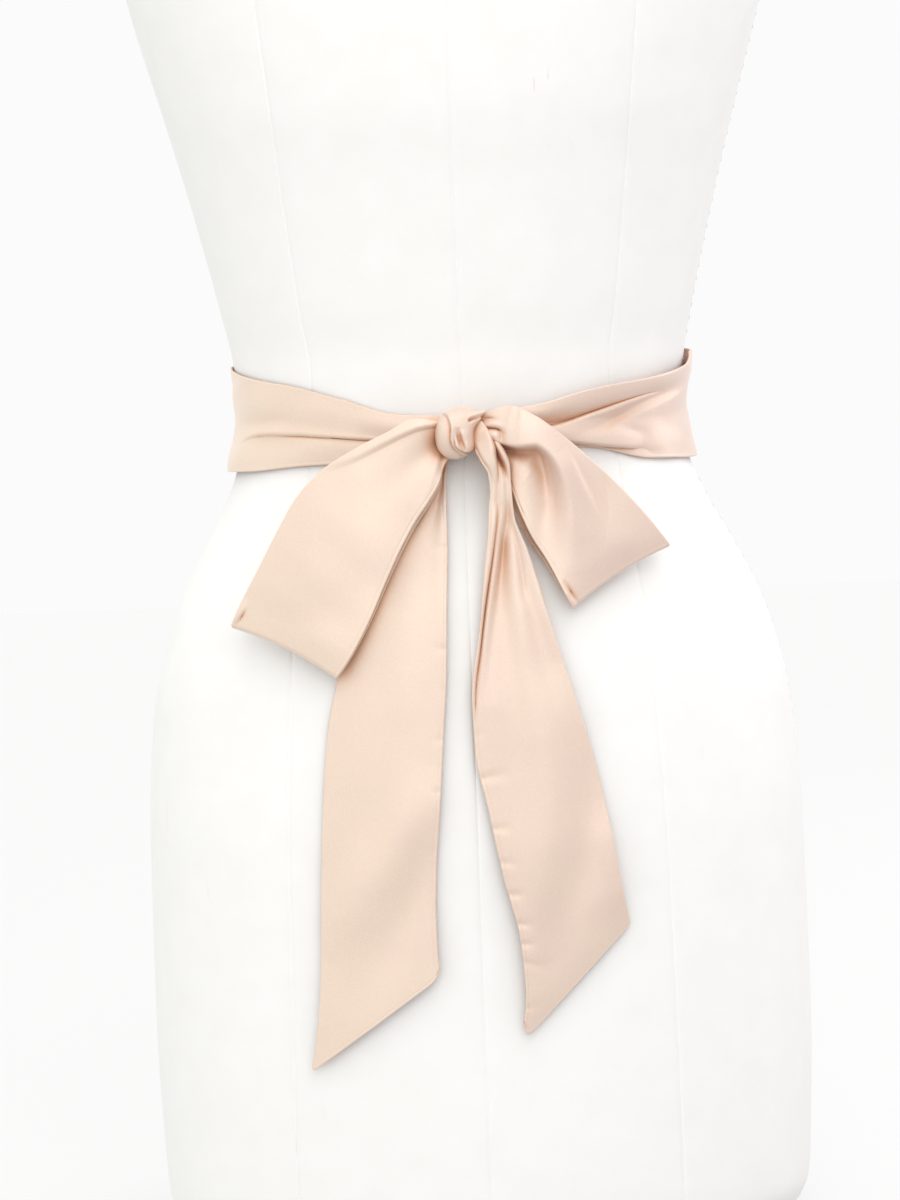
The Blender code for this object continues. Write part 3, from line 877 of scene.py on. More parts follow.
# %% Loop folds
LEFT_FOLDS = [
    # the upper edge turned over into a roll, from the knot outwards
    fold(roll, (-72, -27, 0, 4, 5), (-57.6, -24.0, 0.9, 6.5, 4.6), (-49.5, -21.2, 1.5, 7, 4.2),
         (-38.5, -16.0, 2.0, 7.5, 3.6), (-27.5, -11.0, 2.2, 7, 3), (-20, -8.4, 2.2, 6, 2.6),
         (-11, -7.2, 1.4, 4, 2)),
    # the throat, hollow beside the knot, and soft ridges that spread from it
    fold(bell, (-8, -14, -4.4, 5, 5), (-14, -18, -3.6, 6, 6), (-26, -28, -1.6, 8, 8),
         (-44, -44, 0, 10, 10)),
    fold(bell, (-11, -24, 1.0, 2.4, 2), (-17, -38, 0.9, 3.6, 2.4), (-26, -58, 0, 6, 3)),
    fold(bell, (-9, -21, -1.0, 1.4, 1.4), (-13, -30, -0.9, 2, 2), (-20, -45, 0, 3, 3)),
    fold(bell, (-62, -40, 0, 10, 10), (-80, -66, 1.0, 12, 12), (-90, -96, 0, 11, 11)),
    fold(bell, (-46, -70, 0, 8, 8), (-62, -92, -1.0, 10, 10), (-74, -106, 0, 9, 9)),
    # the corner that curls forward at the outer end of the fold
    fold(bell, (-104, -86, 0, 1.6, 2), (-107.4, -91, 1.0, 1.4, 1.6), (-110.5, -95, 1.8, 1.4, 1.6)),
    fold(bell, (-105, -90.5, 0, 0.9, 0.9), (-107.2, -93.4, -1.3, 0.9, 0.9), (-109.5, -97, -0.8, 1, 1)),
]
RIGHT_FOLDS = [
    # the great roll, out of the knot and round the hollow, crisp at first and then ever softer
    fold(roll, (6, -13, 1.4, 12, 1.5), (12, -14.8, 3.0, 18, 1.5), (19, -17.2, 5.2, 24, 1.5),
         (26.5, -18.6, 6.4, 27, 1.5), (33, -18.4, 6.8, 27, 1.8), (38.4, -22, 7.0, 25, 2.8),
         (42.6, -30.5, 6.8, 23, 5), (44.5, -41, 6.0, 22, 8), (45.0, -53, 4.2, 22, 10),
         (44.5, -66, 2.0, 20, 12), (43, -80, 0, 18, 12)),
    # the hollow itself, deepest under the roll
    fold(bell, (10, -17, 0, 1, 2), (19, -19.2, -2.6, 1.0, 3), (27, -20.6, -3.6, 1.1, 4),
         (33.2, -20.8, -3.6, 1.2, 4.5), (36.6, -24.6, -3.0, 1.6, 5), (38, -32, -1.6, 2.4, 5),
         (38, -44, 0, 4, 6)),
    fold(bell, (24, -25, 0, 4, 5), (33, -27, -2.0, 4, 5), (37.5, -34, -3.2, 4, 5.5),
         (38.5, -45, -3.0, 5, 6), (36, -60, -1.2, 6, 6), (34, -72, 0, 6, 6)),
    fold(bell, (21, -30, 0, 4, 3), (25, -44, 0.8, 4, 3), (30, -60, 0.7, 5, 3), (37, -78, 0, 6, 4)),
    # the sharp line beyond the roll, and the falls towards the end
    fold(bell, (47, -20, 0, 1.4, 4), (51, -28.5, 0.7, 1.0, 4), (56, -39, 0.7, 0.9, 4),
         (62, -52, 0, 1.4, 4)),
    fold(bell, (52, -24, 0, 3, 1), (54.5, -33, -0.5, 3.5, 1.0), (60.5, -46, -0.4, 4, 1.3),
         (66, -56, 0, 4, 2)),
    fold(bell, (54, -56, 0, 8, 8), (66, -64, 0.9, 9, 9), (82, -62, 0, 8, 8)),
    # a small curl beside the knot
    fold(bell, (9.6, -9.4, 0, 0.9, 0.9), (11.8, -9.4, -1.5, 1.0, 0.9), (15.6, -9.8, -2.0, 1.0, 0.9),
         (18.4, -12.0, -1.6, 1.6, 1.5), (18.2, -15.0, -1.3, 1.7, 1.6), (19.4, -17.0, -0.5, 1.4, 1.4)),
    fold(bell, (10, -12, 0.6, 2, 2), (14.4, -12.6, 1.2, 1.8, 1.8), (16.4, -14.4, 0.5, 1.6, 1.6)),
    fold(bell, (8, -4.8, 0, 0.8, 0.8), (12, -4.6, -1.0, 0.8, 0.8), (17, -5.8, 0, 1, 1)),
    fold(bell, (9, -7.4, 0.5, 1, 1), (13, -7.4, 0.7, 1.2, 1.2), (20, -8.4, 0, 1.5, 1.5)),
    # the near corner of the fold rolls forward
    fold(bell, (41, -79, 0, 1.6, 1.6), (44.4, -86, 1.4, 1.7, 1.4), (47.6, -92.5, 3.0, 2.0, 1.6)),
    fold(bell, (44.4, -81, 0, 1, 1), (47.2, -87, -1.4, 1.2, 1.0), (51.2, -93.5, -2.6, 1.3, 1.0)),
]
print(len(LEFT_FOLDS), "folds in the left loop,", len(RIGHT_FOLDS), "in the right one")


# %% [markdown]
# ## The two layers of a loop
# The front layer takes the folds, and the back layer only their troughs, so that it stays clear of
# them. Towards the turn both bend to meet it, and their middle is drawn in a little, as cloth that
# is folded without pressing does.

# %% Loop layers
FOLD_RADIUS = 2.6
LOOP_INSET = 1.6         # how much narrower the back layer is
FRONT_ROWS = 190
BACK_ROWS = 70
TURN_ROWS = 14
LOOP_ACROSS = 92
END_REACH = 15.0         # length over which the front layer bends towards its turn
HOLLOW = 2.4             # how far the middle of the turn is drawn in
HEM_STARTS = 30.0        # the sewn edge shows fully this far from the knot
FRONT_UNEVEN = 0.28
BACK_UNEVEN = 0.5


def along_rows(rows, x_names, z_names):
    """Distance run along a stretch's centre line at each tabled row."""
    x = rows[x_names[0]] + rows[x_names[1]]
    z = rows[z_names[0]] + rows[z_names[1]]
    return np.concatenate([[0], np.cumsum(np.hypot(np.diff(x), np.diff(z)) / 2)])


def loop_layer(rows, places, count):
    """Points of a plain layer, its row places, its columns' distances from the outer edge and its width."""
    at = np.linspace(0, places[-1], count)
    row = {name: smooth(places, column, at)[:, None] for name, column in rows.items()}
    outer = np.concatenate([row["outer_x"], -row["outer_forward"], row["outer_z"]], axis=1)
    inner = np.concatenate([row["inner_x"], -row["inner_forward"], row["inner_z"]], axis=1)
    width = np.linalg.norm(inner - outer, axis=1)
    distance = np.array([rim_spread(w, LOOP_ACROSS) for w in width])
    across = distance / width[:, None]
    points = outer[:, None] + (inner - outer)[:, None] * across[:, :, None]
    bulge = row["belly"] * 4 * across * (1 - across)
    inward = ((inner - outer) / width[:, None])[:, None]
    return points, at, distance, across, bulge, inward


def drawn_in(across, from_end):
    """How far the middle of a layer is drawn in towards the knot, close to its turn."""
    near = np.clip(1 - from_end / (2 * END_REACH), 0, 1)[:, None]
    return HOLLOW * 4 * across * (1 - across) * near**2


def front_layer(rows, places, folds, end_bend, seed):
    """The layer that shows, with its folds and the level way in which it reaches its turn."""
    length = places[-1]
    front, at, distance, across, bulge, _ = loop_layer(rows, places, FRONT_ROWS)
    near_turn = np.clip((length - at) / END_REACH, 0, 1)[:, None]
    x, z = front[:, :, 0], front[:, :, 2]
    relief = height_of_folds(x, z, folds) * np.minimum(1, near_turn * 1.5 + 0.35)
    relief += FRONT_UNEVEN * unevenness(x, z, 34, seed) * near_turn
    relief += SEWN_HEM * hem(distance[:, -1:] - distance) * np.clip(at / HEM_STARTS, 0, 1)[:, None]
    end_way = front[-1] - front[-2]
    end_way[:, 1] = 0
    end_way /= np.linalg.norm(end_way, axis=1, keepdims=True)
    front[:, :, 1] -= bulge + relief - end_bend * (1 - near_turn) ** 2
    front -= end_way[None] * drawn_in(across, length - at)[:, :, None]
    return front, distance, end_way


def back_layer(rows, places, folds, shows, seed, end_way):
    """The layer behind it, a little narrower, with only the troughs of the same folds."""
    length = places[-1]
    back, at, distance, across, bulge, inward = loop_layer(rows, places, BACK_ROWS)
    shown = smooth((0, 0.25 * length, length), (0, *shows), at)[:, None]
    inset = LOOP_INSET * (1 - across) * np.sqrt(at / length)[:, None] + shown * across
    back += inset[:, :, None] * inward
    x, z = back[:, :, 0], back[:, :, 2]
    troughs = np.minimum(height_of_folds(x, z, folds), 0)
    near_turn = np.clip((length - at) / END_REACH, 0, 1)[:, None]
    back[:, :, 1] += 2 * FOLD_RADIUS - bulge * 0.2 - troughs * near_turn
    back[:, :, 1] -= BACK_UNEVEN * unevenness(x, z, 40, seed)
    back -= end_way[None] * drawn_in(across, length - at)[:, :, None]
    return back, distance


print("loop skins:", FRONT_ROWS + TURN_ROWS + BACK_ROWS, "rows each")


# %% [markdown]
# ## Joining the two layers
# Half a circle of rows joins the layers at the far end, and all the rows together become one skin
# that starts and ends inside the knot. Its UV map is the strip laid out flat, in metres, so the
# satin's threads run along the cloth all the way round the turn.

# %% Loops
def build_loop(name, rows, folds, end_bend, shows, seed):
    places = along_rows(rows, ("outer_x", "inner_x"), ("outer_z", "inner_z"))
    front, distance, end_way = front_layer(rows, places, folds, end_bend, seed)
    back, distance_back = back_layer(rows, places, folds, shows, seed + 1, end_way)
    turn = []
    for part in np.linspace(0, math.pi, TURN_ROWS + 2)[1:-1]:
        between = (front[-1] + back[-1]) / 2 + (front[-1] - back[-1]) / 2 * math.cos(part)
        turn.append(between + end_way * (FOLD_RADIUS - end_bend / 2) * math.sin(part))
    middle = np.concatenate([front, np.array(turn), back[::-1]])
    middle[:, :, 2] += WAIST
    distance = np.concatenate([distance, np.repeat(distance[-1:], TURN_ROWS, axis=0), distance_back[::-1]])
    run = np.linalg.norm(np.diff(middle[:, LOOP_ACROSS // 2], axis=0), axis=1)
    run = np.concatenate([[0], np.cumsum(run)])
    print(name, "length round the turn", round(float(run[-1])), "mm")
    return strip(name, middle, distance, run)


loop_left = build_loop("bow_loop_left", LOOP_LEFT, LEFT_FOLDS, 1.0, (1.5, 0.5), 11)
loop_right = build_loop("bow_loop_right", LOOP_RIGHT, RIGHT_FOLDS, 2.6, (3.2, 0.3), 21)
for loop, node in ((loop_left, "sash_loop_left"), (loop_right, "sash_loop_right")):
    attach(loop, "root")
    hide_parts(node)


# %% [markdown]
# ## The two tails
# Each tail hangs from the knot and lies just off the form, so it is tabled by its two edges and by how
# far it lies off the form. Its end is cut on a slant. One edge is the fold of the strip and stays
# smooth; the other is sewn, and the thread draws it into small puckers.

# %% Tail sections
TAIL_COLUMNS = "left_x left_z left_off right_x right_z right_off gathers"
TAIL_LEFT = table(
    TAIL_COLUMNS,
    (-9, -15, 6.5, -1, -15, 6.5, 0),
    (-13, -25, 5, -7.4, -25, 5, 0.2),
    (-22, -36, 4, -8.8, -36, 4.2, 0.3),
    (-37, -58, 3.4, -9, -60, 4, 0.3),
    (-54, -88, 3, -10.5, -92, 3.6, 0.3),
    (-63, -124, 3, -12, -126, 3.4, 0.2),
    (-69, -150, 3, -14, -148, 3.4, 0.2),
    (-73, -193, 3.4, -17.5, -188, 3.8, 0.3),
    (-75, -227, 4, -20, -214, 4.2, 0.2),
    (-76.5, -262, 4.6, -21, -235, 4.6, 0),
    (-79, -288, 5, -21, -252, 5, 0),
    (-83, -310, 5.4, -20, -265, 5.4, 0),
)
TAIL_RIGHT = table(
    TAIL_COLUMNS,
    (1.6, -12, 16, 3.5, -5.4, 16, 0),
    (4.8, -16.6, 19, 8.2, -5.4, 19, 0),
    (5.6, -19.5, 20, 12.6, -10.6, 20, 0),
    (8.2, -25, 20, 16.6, -15.6, 20.5, 0),
    (11.0, -30.5, 19, 19.6, -20.8, 20.5, 0),
    (11.6, -38, 17, 21.4, -27, 19.5, 0.3),
    (10.8, -46, 14.5, 21.8, -37, 17.5, 0.6),
    (10, -57, 11.8, 22.6, -50, 14.5, 0.6),
    (8.2, -70, 9, 28.4, -67, 10.5, 0.6),
    (4.4, -102, 6, 37, -98, 6.5, 1.4),
    (-0.5, -135, 5, 47, -133, 5, 0.8),
    (0, -160, 4.6, 54, -158, 4.6, 0.5),
    (5, -187, 5.4, 59.5, -183, 6, 0.3),
    (11, -219, 6.8, 63.5, -205, 8, 0.2),
    (18, -250, 7.6, 66.5, -224, 7.6, 0),
    (19.5, -275, 6.4, 68.4, -236, 5.6, 0),
    (16.5, -298.5, 4, 70, -244.5, 3.4, 0),
)
print("tail rows:", len(TAIL_LEFT["gathers"]), "left and", len(TAIL_RIGHT["gathers"]), "right")


# %% [markdown]
# ## Folds of the tails
# The left tail hangs nearly flat, with a few long soft folds from the knot. The right tail leaves the
# knot as two folds that lie over each other, and its left edge is turned over further down.

# %% Tail folds
LEFT_TAIL_FOLDS = [
    fold(bell, (-20, -166, 0, 12, 12), (-34, -196, 2.2, 12, 12), (-58, -230, 2.0, 12, 12),
         (-74, -256, 0, 12, 12)),
    fold(bell, (-14, -182, 0, 9, 9), (-24, -214, -1.6, 10, 10), (-44, -250, -0.8, 10, 10),
         (-66, -280, 0, 10, 10)),
    fold(bell, (-10, -34, -0.8, 2, 2), (-18, -58, -0.8, 4, 4), (-34, -92, 0, 8, 8)),
    fold(bell, (-8, -30, 0.5, 2, 2), (-12, -60, 0.4, 3, 3), (-16, -110, 0, 5, 5)),
]
RIGHT_TAIL_FOLDS = [
    # the first fold out of the knot lies over the second, with a pocket between them
    fold(lap, (15, -36, 0, 4, 1.6), (15, -30, 1.4, 5, 1.6), (14.7, -25, 2.4, 5, 1.6),
         (14.4, -20.5, 2.6, 5, 1.6), (13.0, -14.3, 1.8, 4, 1.4), (11, -10, 0, 3, 1.2)),
    fold(bell, (15.0, -18.5, 0, 0.9, 1), (16.0, -22.4, -2.6, 1.0, 1.5), (17.4, -25.6, -3.0, 1.2, 1.5),
         (18.6, -29, -1.6, 1.3, 1.4), (19.4, -34, 0, 1.4, 1.6)),
    fold(bell, (13.6, -13, 0, 0.9, 0.9), (16.4, -18, 0.9, 1, 1), (19.0, -22.8, 1.1, 1.1, 1),
         (20.6, -28, 0.7, 1.2, 1), (21, -34, 0, 1.2, 1.2)),
    fold(bell, (5, -15.6, 0, 0.8, 0.8), (6.4, -19.6, -1.2, 0.8, 0.8), (8.8, -24.2, -1.5, 0.8, 0.9),
         (11.6, -29, -1.0, 0.9, 1), (13.6, -36, 0, 1, 1)),
    # the left edge is turned over: its lip runs down beside the edge
    fold(lap, (-0.4, -150, 0, 3, 1.2), (0.6, -131, 1.3, 3, 1.3), (3.4, -112.8, 2.0, 3, 1.5),
         (6.2, -94, 2.4, 4, 1.6), (10.4, -71, 2.5, 5, 1.7), (12.8, -57, 1.9, 5, 1.8),
         (14.6, -44, 0, 4, 1.8)),
    fold(bell, (17.0, -46, 0, 1.6, 1.6), (15.0, -60, 1.3, 1.6, 1.4), (13.0, -72, 1.5, 1.8, 1.4),
         (8.9, -94, 1.4, 2.2, 1.4), (5.8, -114, 1.0, 2.4, 1.4), (3, -136, 0, 3, 2)),
    fold(bell, (20, -42, 0, 1.6, 2.2), (18.6, -54, -2.2, 2.2, 2.4), (16.6, -68, -3.2, 3.4, 3.2),
         (13, -88, -3.0, 5, 4), (9.6, -112, -1.8, 6, 5), (6, -138, 0, 7, 6)),
    # a second, finer crease down from the right edge
    fold(bell, (20.6, -44, 0, 1, 1.4), (22.2, -56, -0.5, 1.2, 1.6), (24.4, -69, -0.7, 1.4, 1.8),
         (25.6, -82, -0.8, 1.4, 2.2), (26.4, -94, 0, 2, 3)),
    fold(bell, (24.4, -56, 0, 2, 3), (27.8, -70, 0.5, 2.2, 4), (30, -86, 0.3, 3, 5),
         (31, -104, 0, 4, 5)),
    # the wide valley across the lower part
    fold(bell, (58, -150, 0, 13, 13), (52, -196, -3.4, 13, 13), (40, -236, -2.6, 12, 12),
         (30, -276, 0, 10, 10)),
    fold(bell, (40, -120, 0, 12, 12), (34, -160, 2.2, 12, 12), (33, -206, 2.6, 11, 11),
         (28, -246, 0, 10, 10)),
]
print(len(LEFT_TAIL_FOLDS), "folds in the left tail,", len(RIGHT_TAIL_FOLDS), "in the right one")


# %% [markdown]
# ## Puckers along the sewn edges
# The seam's thread is a little tighter than the satin, so the cloth is drawn into short troughs that
# run in from the sewn edge. Each row gives where a trough starts, how far in it reaches (negative is
# to the left), its depth, how wide it spreads, and its slant.

# %% Puckers
PUCKER_COLUMNS = "x z reach depth spread slant"
PUCKERS_LEFT = table(
    PUCKER_COLUMNS,
    (-9.3, -64.5, -9, 0.55, 1.3, 0.1),
    (-9.8, -88, -5, 0.25, 1.2, 0.1),
    (-10.3, -112, -9, 0.5, 1.4, -0.1),
    (-12, -131, -5, 0.25, 1.2, 0),
    (-13.5, -153.5, -7, 0.4, 1.3, 0.15),
    (-16.5, -178, -6, 0.4, 1.4, 0.1),
    (-19, -206, -5, 0.25, 1.3, 0.1),
    (-20.5, -238, -5, 0.2, 1.3, 0),
)
PUCKERS_RIGHT = table(
    PUCKER_COLUMNS,
    (2, -152, 5, 0.2, 1.6, 0),
    (5.5, -172, 11, 0.6, 1.9, 0.2),
    (9.5, -196, 8, 0.5, 1.6, 0.05),
    (12, -212, 8, 0.5, 1.5, -0.1),
    (13.5, -227, 9, 0.8, 1.5, -0.05),
    (16.6, -241, 9, 0.9, 1.4, -0.1),
    (18.2, -250.5, 8, 0.9, 1.4, -0.1),
    (19.6, -259.5, 14, 0.6, 1.6, -0.3),
    (18.8, -281, 7, 0.6, 1.5, 0.1),
)


def pucker_folds(rows):
    """Short troughs that run in from a sewn edge."""
    made = []
    for x, z, reach, depth, spread, slant in zip(*(rows[name] for name in PUCKER_COLUMNS.split())):
        made.append(fold(
            bell,
            (x - reach * 0.2, z - reach * 0.2 * slant, -depth, spread, spread),
            (x + reach * 0.35, z + reach * 0.35 * slant, -depth * 0.7, spread * 1.3, spread * 1.3),
            (x + reach, z + reach * slant, 0, spread * 2, spread * 2),
        ))
    return made


print(len(pucker_folds(PUCKERS_LEFT) + pucker_folds(PUCKERS_RIGHT)), "puckers")


# %% [markdown]
# ## A tail as one skin
# The rows run from the knot to the slanted cut and are closest together at both ends. The two corners
# of the cut are rounded, because a turned corner never comes out quite sharp.

# %% Tails
GATHER_WAVES = 2.5       # waves across a gathered tail
TAIL_ROWS = 330
TAIL_ACROSS = 92
LEAST_OFF = 1.4          # the middle of the cloth never lies closer to the form than this
TIP_LENGTH = 20.0        # the rounding of the two corners fades out over this
CUT_HEM = 0.5
TAIL_UNEVEN = 0.32


def tip_pull(from_left, from_right, radii):
    """How far the slanted end is pulled back near its two corners, to round them."""
    pull = 0
    for distance, radius in ((from_left, radii[0]), (from_right, radii[1])):
        inward = np.clip(1 - distance / radius, 0, 1)
        pull = pull + radius * (1 - np.sqrt(1 - inward**2))
    return pull


def build_tail(name, rows, folds, puckers, sewn_edge, tip_radii, seed):
    places = along_rows(rows, ("left_x", "right_x"), ("left_z", "right_z"))
    length = places[-1]
    at = rim_spread(length, TAIL_ROWS)
    left_x, left_z, right_x, right_z = (
        smooth(places, rows[column], at) for column in ("left_x", "left_z", "right_x", "right_z")
    )
    width = np.hypot(right_x - left_x, right_z - left_z)
    distance = np.array([rim_spread(w, TAIL_ACROSS) for w in width])
    across = distance / width[:, None]
    near_end = np.clip((at - length + TIP_LENGTH) / TIP_LENGTH, 0, 1)[:, None] ** 2
    pulled = at[:, None] - tip_pull(distance, width[:, None] - distance, tip_radii) * near_end

    def read(column):
        left = smooth(places, rows["left_" + column], pulled)
        right = smooth(places, rows["right_" + column], pulled)
        return left + (right - left) * across

    x, z = read("x"), read("z")
    gathers = smooth(places, rows["gathers"], pulled)
    wave = gathers * (1 - np.cos(2 * math.pi * GATHER_WAVES * across)) / 2
    relief = height_of_folds(x, z, folds + pucker_folds(puckers))
    from_seam = distance if sewn_edge == "left" else width[:, None] - distance
    shows = np.clip(at / (2 * HEM_STARTS), 0, 1)[:, None]
    relief += SEWN_HEM * hem(from_seam) * shows + CUT_HEM * hem(length - at[:, None])
    off = read("off") + wave + relief + TAIL_UNEVEN * unevenness(x, z, 60, seed)
    forward = form_forward(x, WAIST + z) + np.maximum(off, LEAST_OFF)
    middle = np.stack([x, -forward, WAIST + z], axis=2)
    print(name, "length", round(float(length)), "mm")
    return strip(name, middle, distance, at, rim_rounding(np.minimum(at, length - at)[:, None]))


tail_left = build_tail("bow_tail_left", TAIL_LEFT, LEFT_TAIL_FOLDS, PUCKERS_LEFT, "right", (3, 7), 31)
tail_right = build_tail("bow_tail_right", TAIL_RIGHT, RIGHT_TAIL_FOLDS, PUCKERS_RIGHT, "left", (9, 2.5), 41)
for tail, node in ((tail_left, "sash_tail_left"), (tail_right, "sash_tail_right")):
    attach(tail, "root")
    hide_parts(node)


# %% [markdown]
# ## The knot
# The knot is the strip wrapped once round the roots of the loops, so its folds run up and down. It is
# a rounded body that leans to the right at the top, and its folds are carved in as seen from the
# front. The layers inside it are hidden and are not modelled.

# %% Knot sizes and folds
KNOT_MIDDLE = (-3.8, 107.6, -10.8)
KNOT_HALF = (9.3, 10.4, 12.4)
KNOT_ROUNDNESS = 2.4
KNOT_LEAN = 3.4          # how far the top leans to the right
KNOT_AROUND = 180
KNOT_ACROSS = 130
TUCK_WAY = (0.86, -0.36, 0.50)   # the pointed tuck at the top right
TUCK_REACH = 7.0
TUCK_SPREAD = 0.27
KNOT_FOLDS = [
    # the second turn lies over the first, with a narrow layer between them
    fold(lap, (-10.5, -1.4, 0, 2, 0.8), (-7.3, -2.5, 1.0, 2.4, 0.9), (-5.8, -5.7, 1.7, 2.6, 1.0),
         (-5.2, -9, 2.0, 2.6, 1.0), (-5.4, -13.4, 2.0, 2.6, 1.1), (-5.0, -15.8, 2.0, 2.6, 1.1),
         (-3.4, -18.3, 1.8, 2.4, 1.1), (-0.8, -20.5, 1.4, 2.2, 1.0), (3, -22.2, 0.6, 2, 1)),
    fold(lap, (-3.4, -9.5, 0, 3, 0.9), (-3.5, -12.6, 0.8, 4, 1.0), (-3.4, -15.8, 1.7, 4, 1.0),
         (-1.6, -17.9, 2.0, 4, 1.0), (1.1, -19.0, 2.0, 4, 1.0), (3.5, -18.4, 1.6, 4, 1.0),
         (6, -16.6, 0.8, 3, 0.9)),
    # the pocket in the second turn, with a crisp right side
    fold(bell, (-2.4, -8.2, 0, 1.2, 1.2), (-2.4, -11.2, -1.4, 1.3, 1.2), (-2.0, -13.2, -2.1, 1.5, 1.3),
         (-1.4, -15.4, -2.1, 1.4, 1.2), (-0.6, -17.4, -1.0, 1, 1)),
    fold(lap, (-1.2, -9, 0, 3, 1), (-0.8, -12.4, 1.0, 3, 1.2), (0.1, -16.6, 1.3, 3, 1.2),
         (0.6, -19, 0, 3, 1)),
    fold(bell, (-9.6, -5, 0, 2, 2), (-9.4, -11, 0.4, 2.2, 2.2), (-8.4, -18, 0, 2, 2)),
    # the crease under the pointed tuck at the top right, and the notch above it
    fold(bell, (2.8, -6.0, 0, 0.8, 0.8), (4.6, -4.4, -2.2, 0.8, 0.8), (7.6, -3.6, -2.6, 0.8, 0.9),
         (11.5, -2.8, -1.2, 0.8, 0.9)),
    fold(bell, (1.0, 2.6, 0, 0.8, 0.8), (3.6, 1.2, -0.8, 0.8, 0.8), (6.0, 0.2, 0, 0.8, 0.8)),
]
print(len(KNOT_FOLDS), "folds in the knot")


# %% [markdown]
# ## The knot as one skin
# The rings go round the left-right axis, because the wrap does so too. Towards the band the folds fade
# out. Blender then turns all the faces outwards.

# %% Knot
FACING = 2.2             # how soon the folds fade out towards the band
KNOT_UNEVEN = 0.12


def face_outwards(mesh):
    """Turn the faces outwards and shade them smooth."""
    work = bmesh.new()
    work.from_mesh(mesh)
    bmesh.ops.recalc_face_normals(work, faces=work.faces)
    work.to_mesh(mesh)
    work.free()
    mesh.shade_smooth()


def build_knot():
    around = np.linspace(0, 2 * math.pi, KNOT_AROUND, endpoint=False)[None]
    side = np.linspace(-math.pi / 2, math.pi / 2, KNOT_ACROSS)[1:-1, None]
    lateral = np.sin(side) + 0 * around
    depth, rise = -np.cos(around) * np.cos(side), np.sin(around) * np.cos(side)
    way = np.stack([lateral, depth, rise], axis=2)
    reach = (np.abs(way) ** KNOT_ROUNDNESS).sum(axis=2) ** (-1 / KNOT_ROUNDNESS)
    points = way * reach[:, :, None] * np.array(KNOT_HALF)
    points[:, :, 0] += KNOT_LEAN * np.clip(points[:, :, 2] / KNOT_HALF[2], 0, 1) ** 2
    tuck = np.array(TUCK_WAY) / np.linalg.norm(TUCK_WAY)
    turn = np.arccos(np.clip(way @ tuck, -1, 1))
    points += tuck * (TUCK_REACH * np.exp(-((turn / TUCK_SPREAD) ** 2)))[:, :, None]
    x, z = points[:, :, 0] + KNOT_MIDDLE[0], points[:, :, 2] + KNOT_MIDDLE[2]
    facing = np.clip(-way[:, :, 1] * FACING, 0, 1)
    relief = height_of_folds(x, z, KNOT_FOLDS) * facing + KNOT_UNEVEN * unevenness(x, z, 9, 51)
    points += way * relief[:, :, None]
    points += np.array([KNOT_MIDDLE[0], -KNOT_MIDDLE[1], KNOT_MIDDLE[2] + WAIST])
    index = np.arange(side.size * KNOT_AROUND).reshape(-1, KNOT_AROUND)
    faces = tube_faces(index).tolist() + [index[0].tolist(), index[-1][::-1].tolist()]
    mesh = bpy.data.meshes.new("bow_knot")
    mesh.from_pydata((points.reshape(-1, 3) * MM).tolist(), [], faces)
    layer = mesh.uv_layers.new(name="cloth")
    uv = np.stack([x, around * KNOT_HALF[2] + 0 * x], axis=2).reshape(-1, 2) * MM
    corners = np.concatenate([np.array(f) for f in faces])
    layer.data.foreach_set("uv", uv[corners].astype(np.float32).reshape(-1))
    face_outwards(mesh)
    mesh.materials.append(satin)
    print("bow_knot", len(faces), "faces")
    return place_object("bow_knot", mesh)


knot = build_knot()
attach(knot, "root")
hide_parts("sash_knot")


# %% [markdown]
# ## The width of the stretches
# Every stretch is as wide as the finished sash.


# %% [markdown]
# ## The floor
# The form stands on a pale floor that runs out of sight. The floor glows a little, so that it is as
# light as the surround, and it throws no light on the cloth.

# %% Floor
FLOOR_HALF = 6.0
FLOOR_GLOW = 0.69


def build_floor():
    mesh = bpy.data.meshes.new("floor")
    corners = [(x * FLOOR_HALF, y * FLOOR_HALF, 0) for x, y in ((-1, -1), (1, -1), (1, 1), (-1, 1))]
    mesh.from_pydata(corners, [], [(0, 1, 2, 3)])
    pale, tree, shader = new_material("studio_floor")
    feed(tree, shader, {
        "Base Color": (0.17, 0.17, 0.17, 1),
        "Roughness": 0.9,
        "Emission Color": (1, 1, 1, 1),
        "Emission Strength": FLOOR_GLOW,
    })
    mesh.materials.append(pale)
    made = place_object("floor", mesh)
    made.visible_diffuse = False
    made.visible_glossy = False
    return made


build_floor()


# %% [markdown]
# ## The white surround
# White walls on all sides give most of the light. They are a little brighter behind, above and on the
# left, and a little warmer on the left than on the right. The wall that is seen behind the form has
# a brightness of its own, so it can stay near white without flooding the form with light.

# %% Surround
SURROUND = 0.98          # light from the white surround, seen from the side
FROM_BACK = 0.06         # how much brighter it is behind the form than beside it
FROM_ABOVE = 0.22        # and above than beside
FROM_LEFT = 0.13         # and on the left than on the right
SEEN_WHITE = 0.965       # how bright the surround itself looks
WARM = (1.0, 1.0, 0.98)
ROSY = (1.0, 0.98, 0.985)


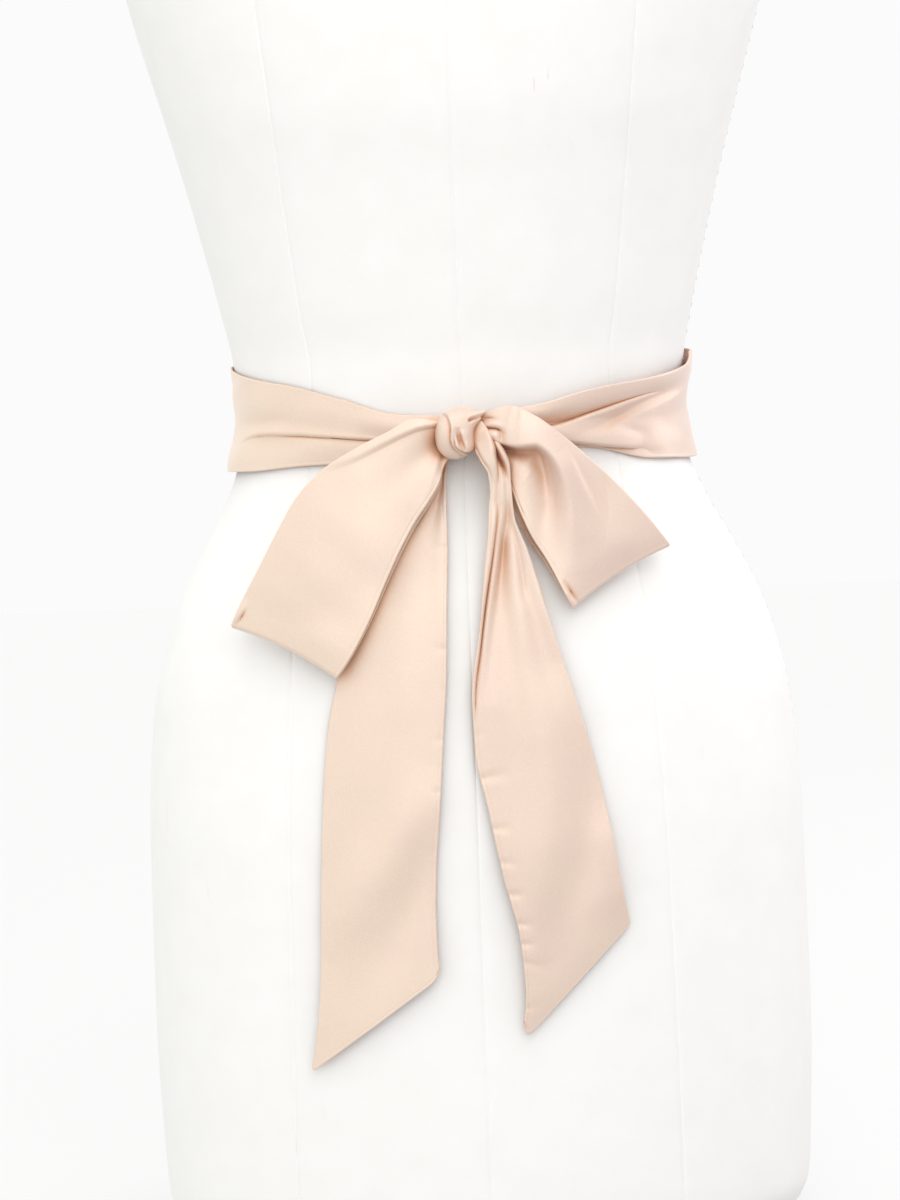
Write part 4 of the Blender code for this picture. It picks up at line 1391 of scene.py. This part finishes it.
def build_surround():
    world = bpy.data.worlds.new("surround")
    bpy.context.scene.world = world
    world.use_nodes = True
    tree = world.node_tree
    place = add_node(tree, "TexCoord").outputs["Generated"]
    way = {0: place, 1: (-FROM_LEFT, FROM_BACK, FROM_ABOVE)}
    slope = add_node(tree, "VectorMath", way, operation="DOT_PRODUCT")
    strength = add_node(tree, "Math", {0: slope.outputs["Value"], 1: SURROUND}, operation="ADD")
    side = add_node(tree, "SeparateXYZ", {"Vector": place})
    spread = add_node(tree, "MapRange", {"Value": side.outputs["X"], "From Min": -1})
    light = tree.nodes["Background"]
    feed(tree, light, {
        "Color": ramp(tree, spread.outputs["Result"], (0, WARM), (1, ROSY)),
        "Strength": strength.outputs["Value"],
    })
    seen = add_node(tree, "Background", {"Color": (1, 1, 1, 1), "Strength": SEEN_WHITE})
    ray = add_node(tree, "LightPath").outputs["Is Camera Ray"]
    both = {"Fac": ray, 1: light.outputs["Background"], 2: seen.outputs["Background"]}
    mix = add_node(tree, "MixShader", both)
    feed(tree, tree.nodes["World Output"], {"Surface": mix.outputs["Shader"]})


build_surround()
bpy.context.scene.view_settings.view_transform = "Standard"
print("surround from", round(SURROUND - FROM_LEFT, 2), "to", round(SURROUND + FROM_LEFT, 2))


# %% [markdown]
# ## Three soft lights
# A large window high in front models the folds from above. A rosy wall on the right tints the side
# that is turned from the window, and a broad faint light in front keeps the shadows open. All three
# are large rectangles, because small lights would draw hard edges on satin.

# %% Lights
LIGHTS = {
    # name: place, aim, width, height, power in watts, colour
    "window": ((0.3, -1.3, 2.0), (0, 0, 0.4), 1.3, 1.6, 10.0, (1.0, 0.985, 0.955)),
    "rosy_wall": ((1.8, 0.7, 1.2), (0, 0, 0.4), 1.2, 1.6, 12.0, (1.0, 0.955, 0.98)),
    "front": ((0.1, -2.3, 1.15), (0, 0, 0.38), 1.8, 1.4, 11.2, (1.0, 0.995, 0.985)),
}


def soft_light(name, place, aim, width, height, power, colour):
    data = bpy.data.lights.new(name, "AREA")
    data.shape = "RECTANGLE"
    data.size = width
    data.size_y = height
    data.energy = power
    data.color = colour
    made = place_object(name, data)
    made.location = place
    made.rotation_euler = (Vector(aim) - Vector(place)).to_track_quat("-Z", "Y").to_euler()


for name, settings in LIGHTS.items():
    soft_light(name, *settings)
print(len(LIGHTS), "lights")


# %% [markdown]
# ## The camera
# The camera stands level with the waist and a little left of the form's axis. It looks down slightly
# to take in the tails, and it is tipped, so the form leans to the left. A long lens keeps it natural.

# %% Camera
CAMERA_DISTANCE = 1.8
CAMERA_SIDE = -0.009     # left of the form's axis
LOOK_BELOW_WAIST = 0.095
CAMERA_TIP = math.radians(2.2)
LENS = 108.0


def build_camera():
    data = bpy.data.cameras.new("camera")
    data.lens = LENS
    data.sensor_width = 36.0
    made = place_object("camera", data)
    place = Vector((CAMERA_SIDE, -CAMERA_DISTANCE, WAIST * MM))
    aim = Vector((CAMERA_SIDE, 0, WAIST * MM - LOOK_BELOW_WAIST))
    turn = (aim - place).to_track_quat("-Z", "Y").to_matrix().to_4x4()
    made.matrix_world = Matrix.Translation(place) @ turn @ Matrix.Rotation(-CAMERA_TIP, 4, "Z")
    bpy.context.scene.camera = made


build_camera()
print("camera", CAMERA_DISTANCE, "m in front of the axis, lens", LENS, "mm")
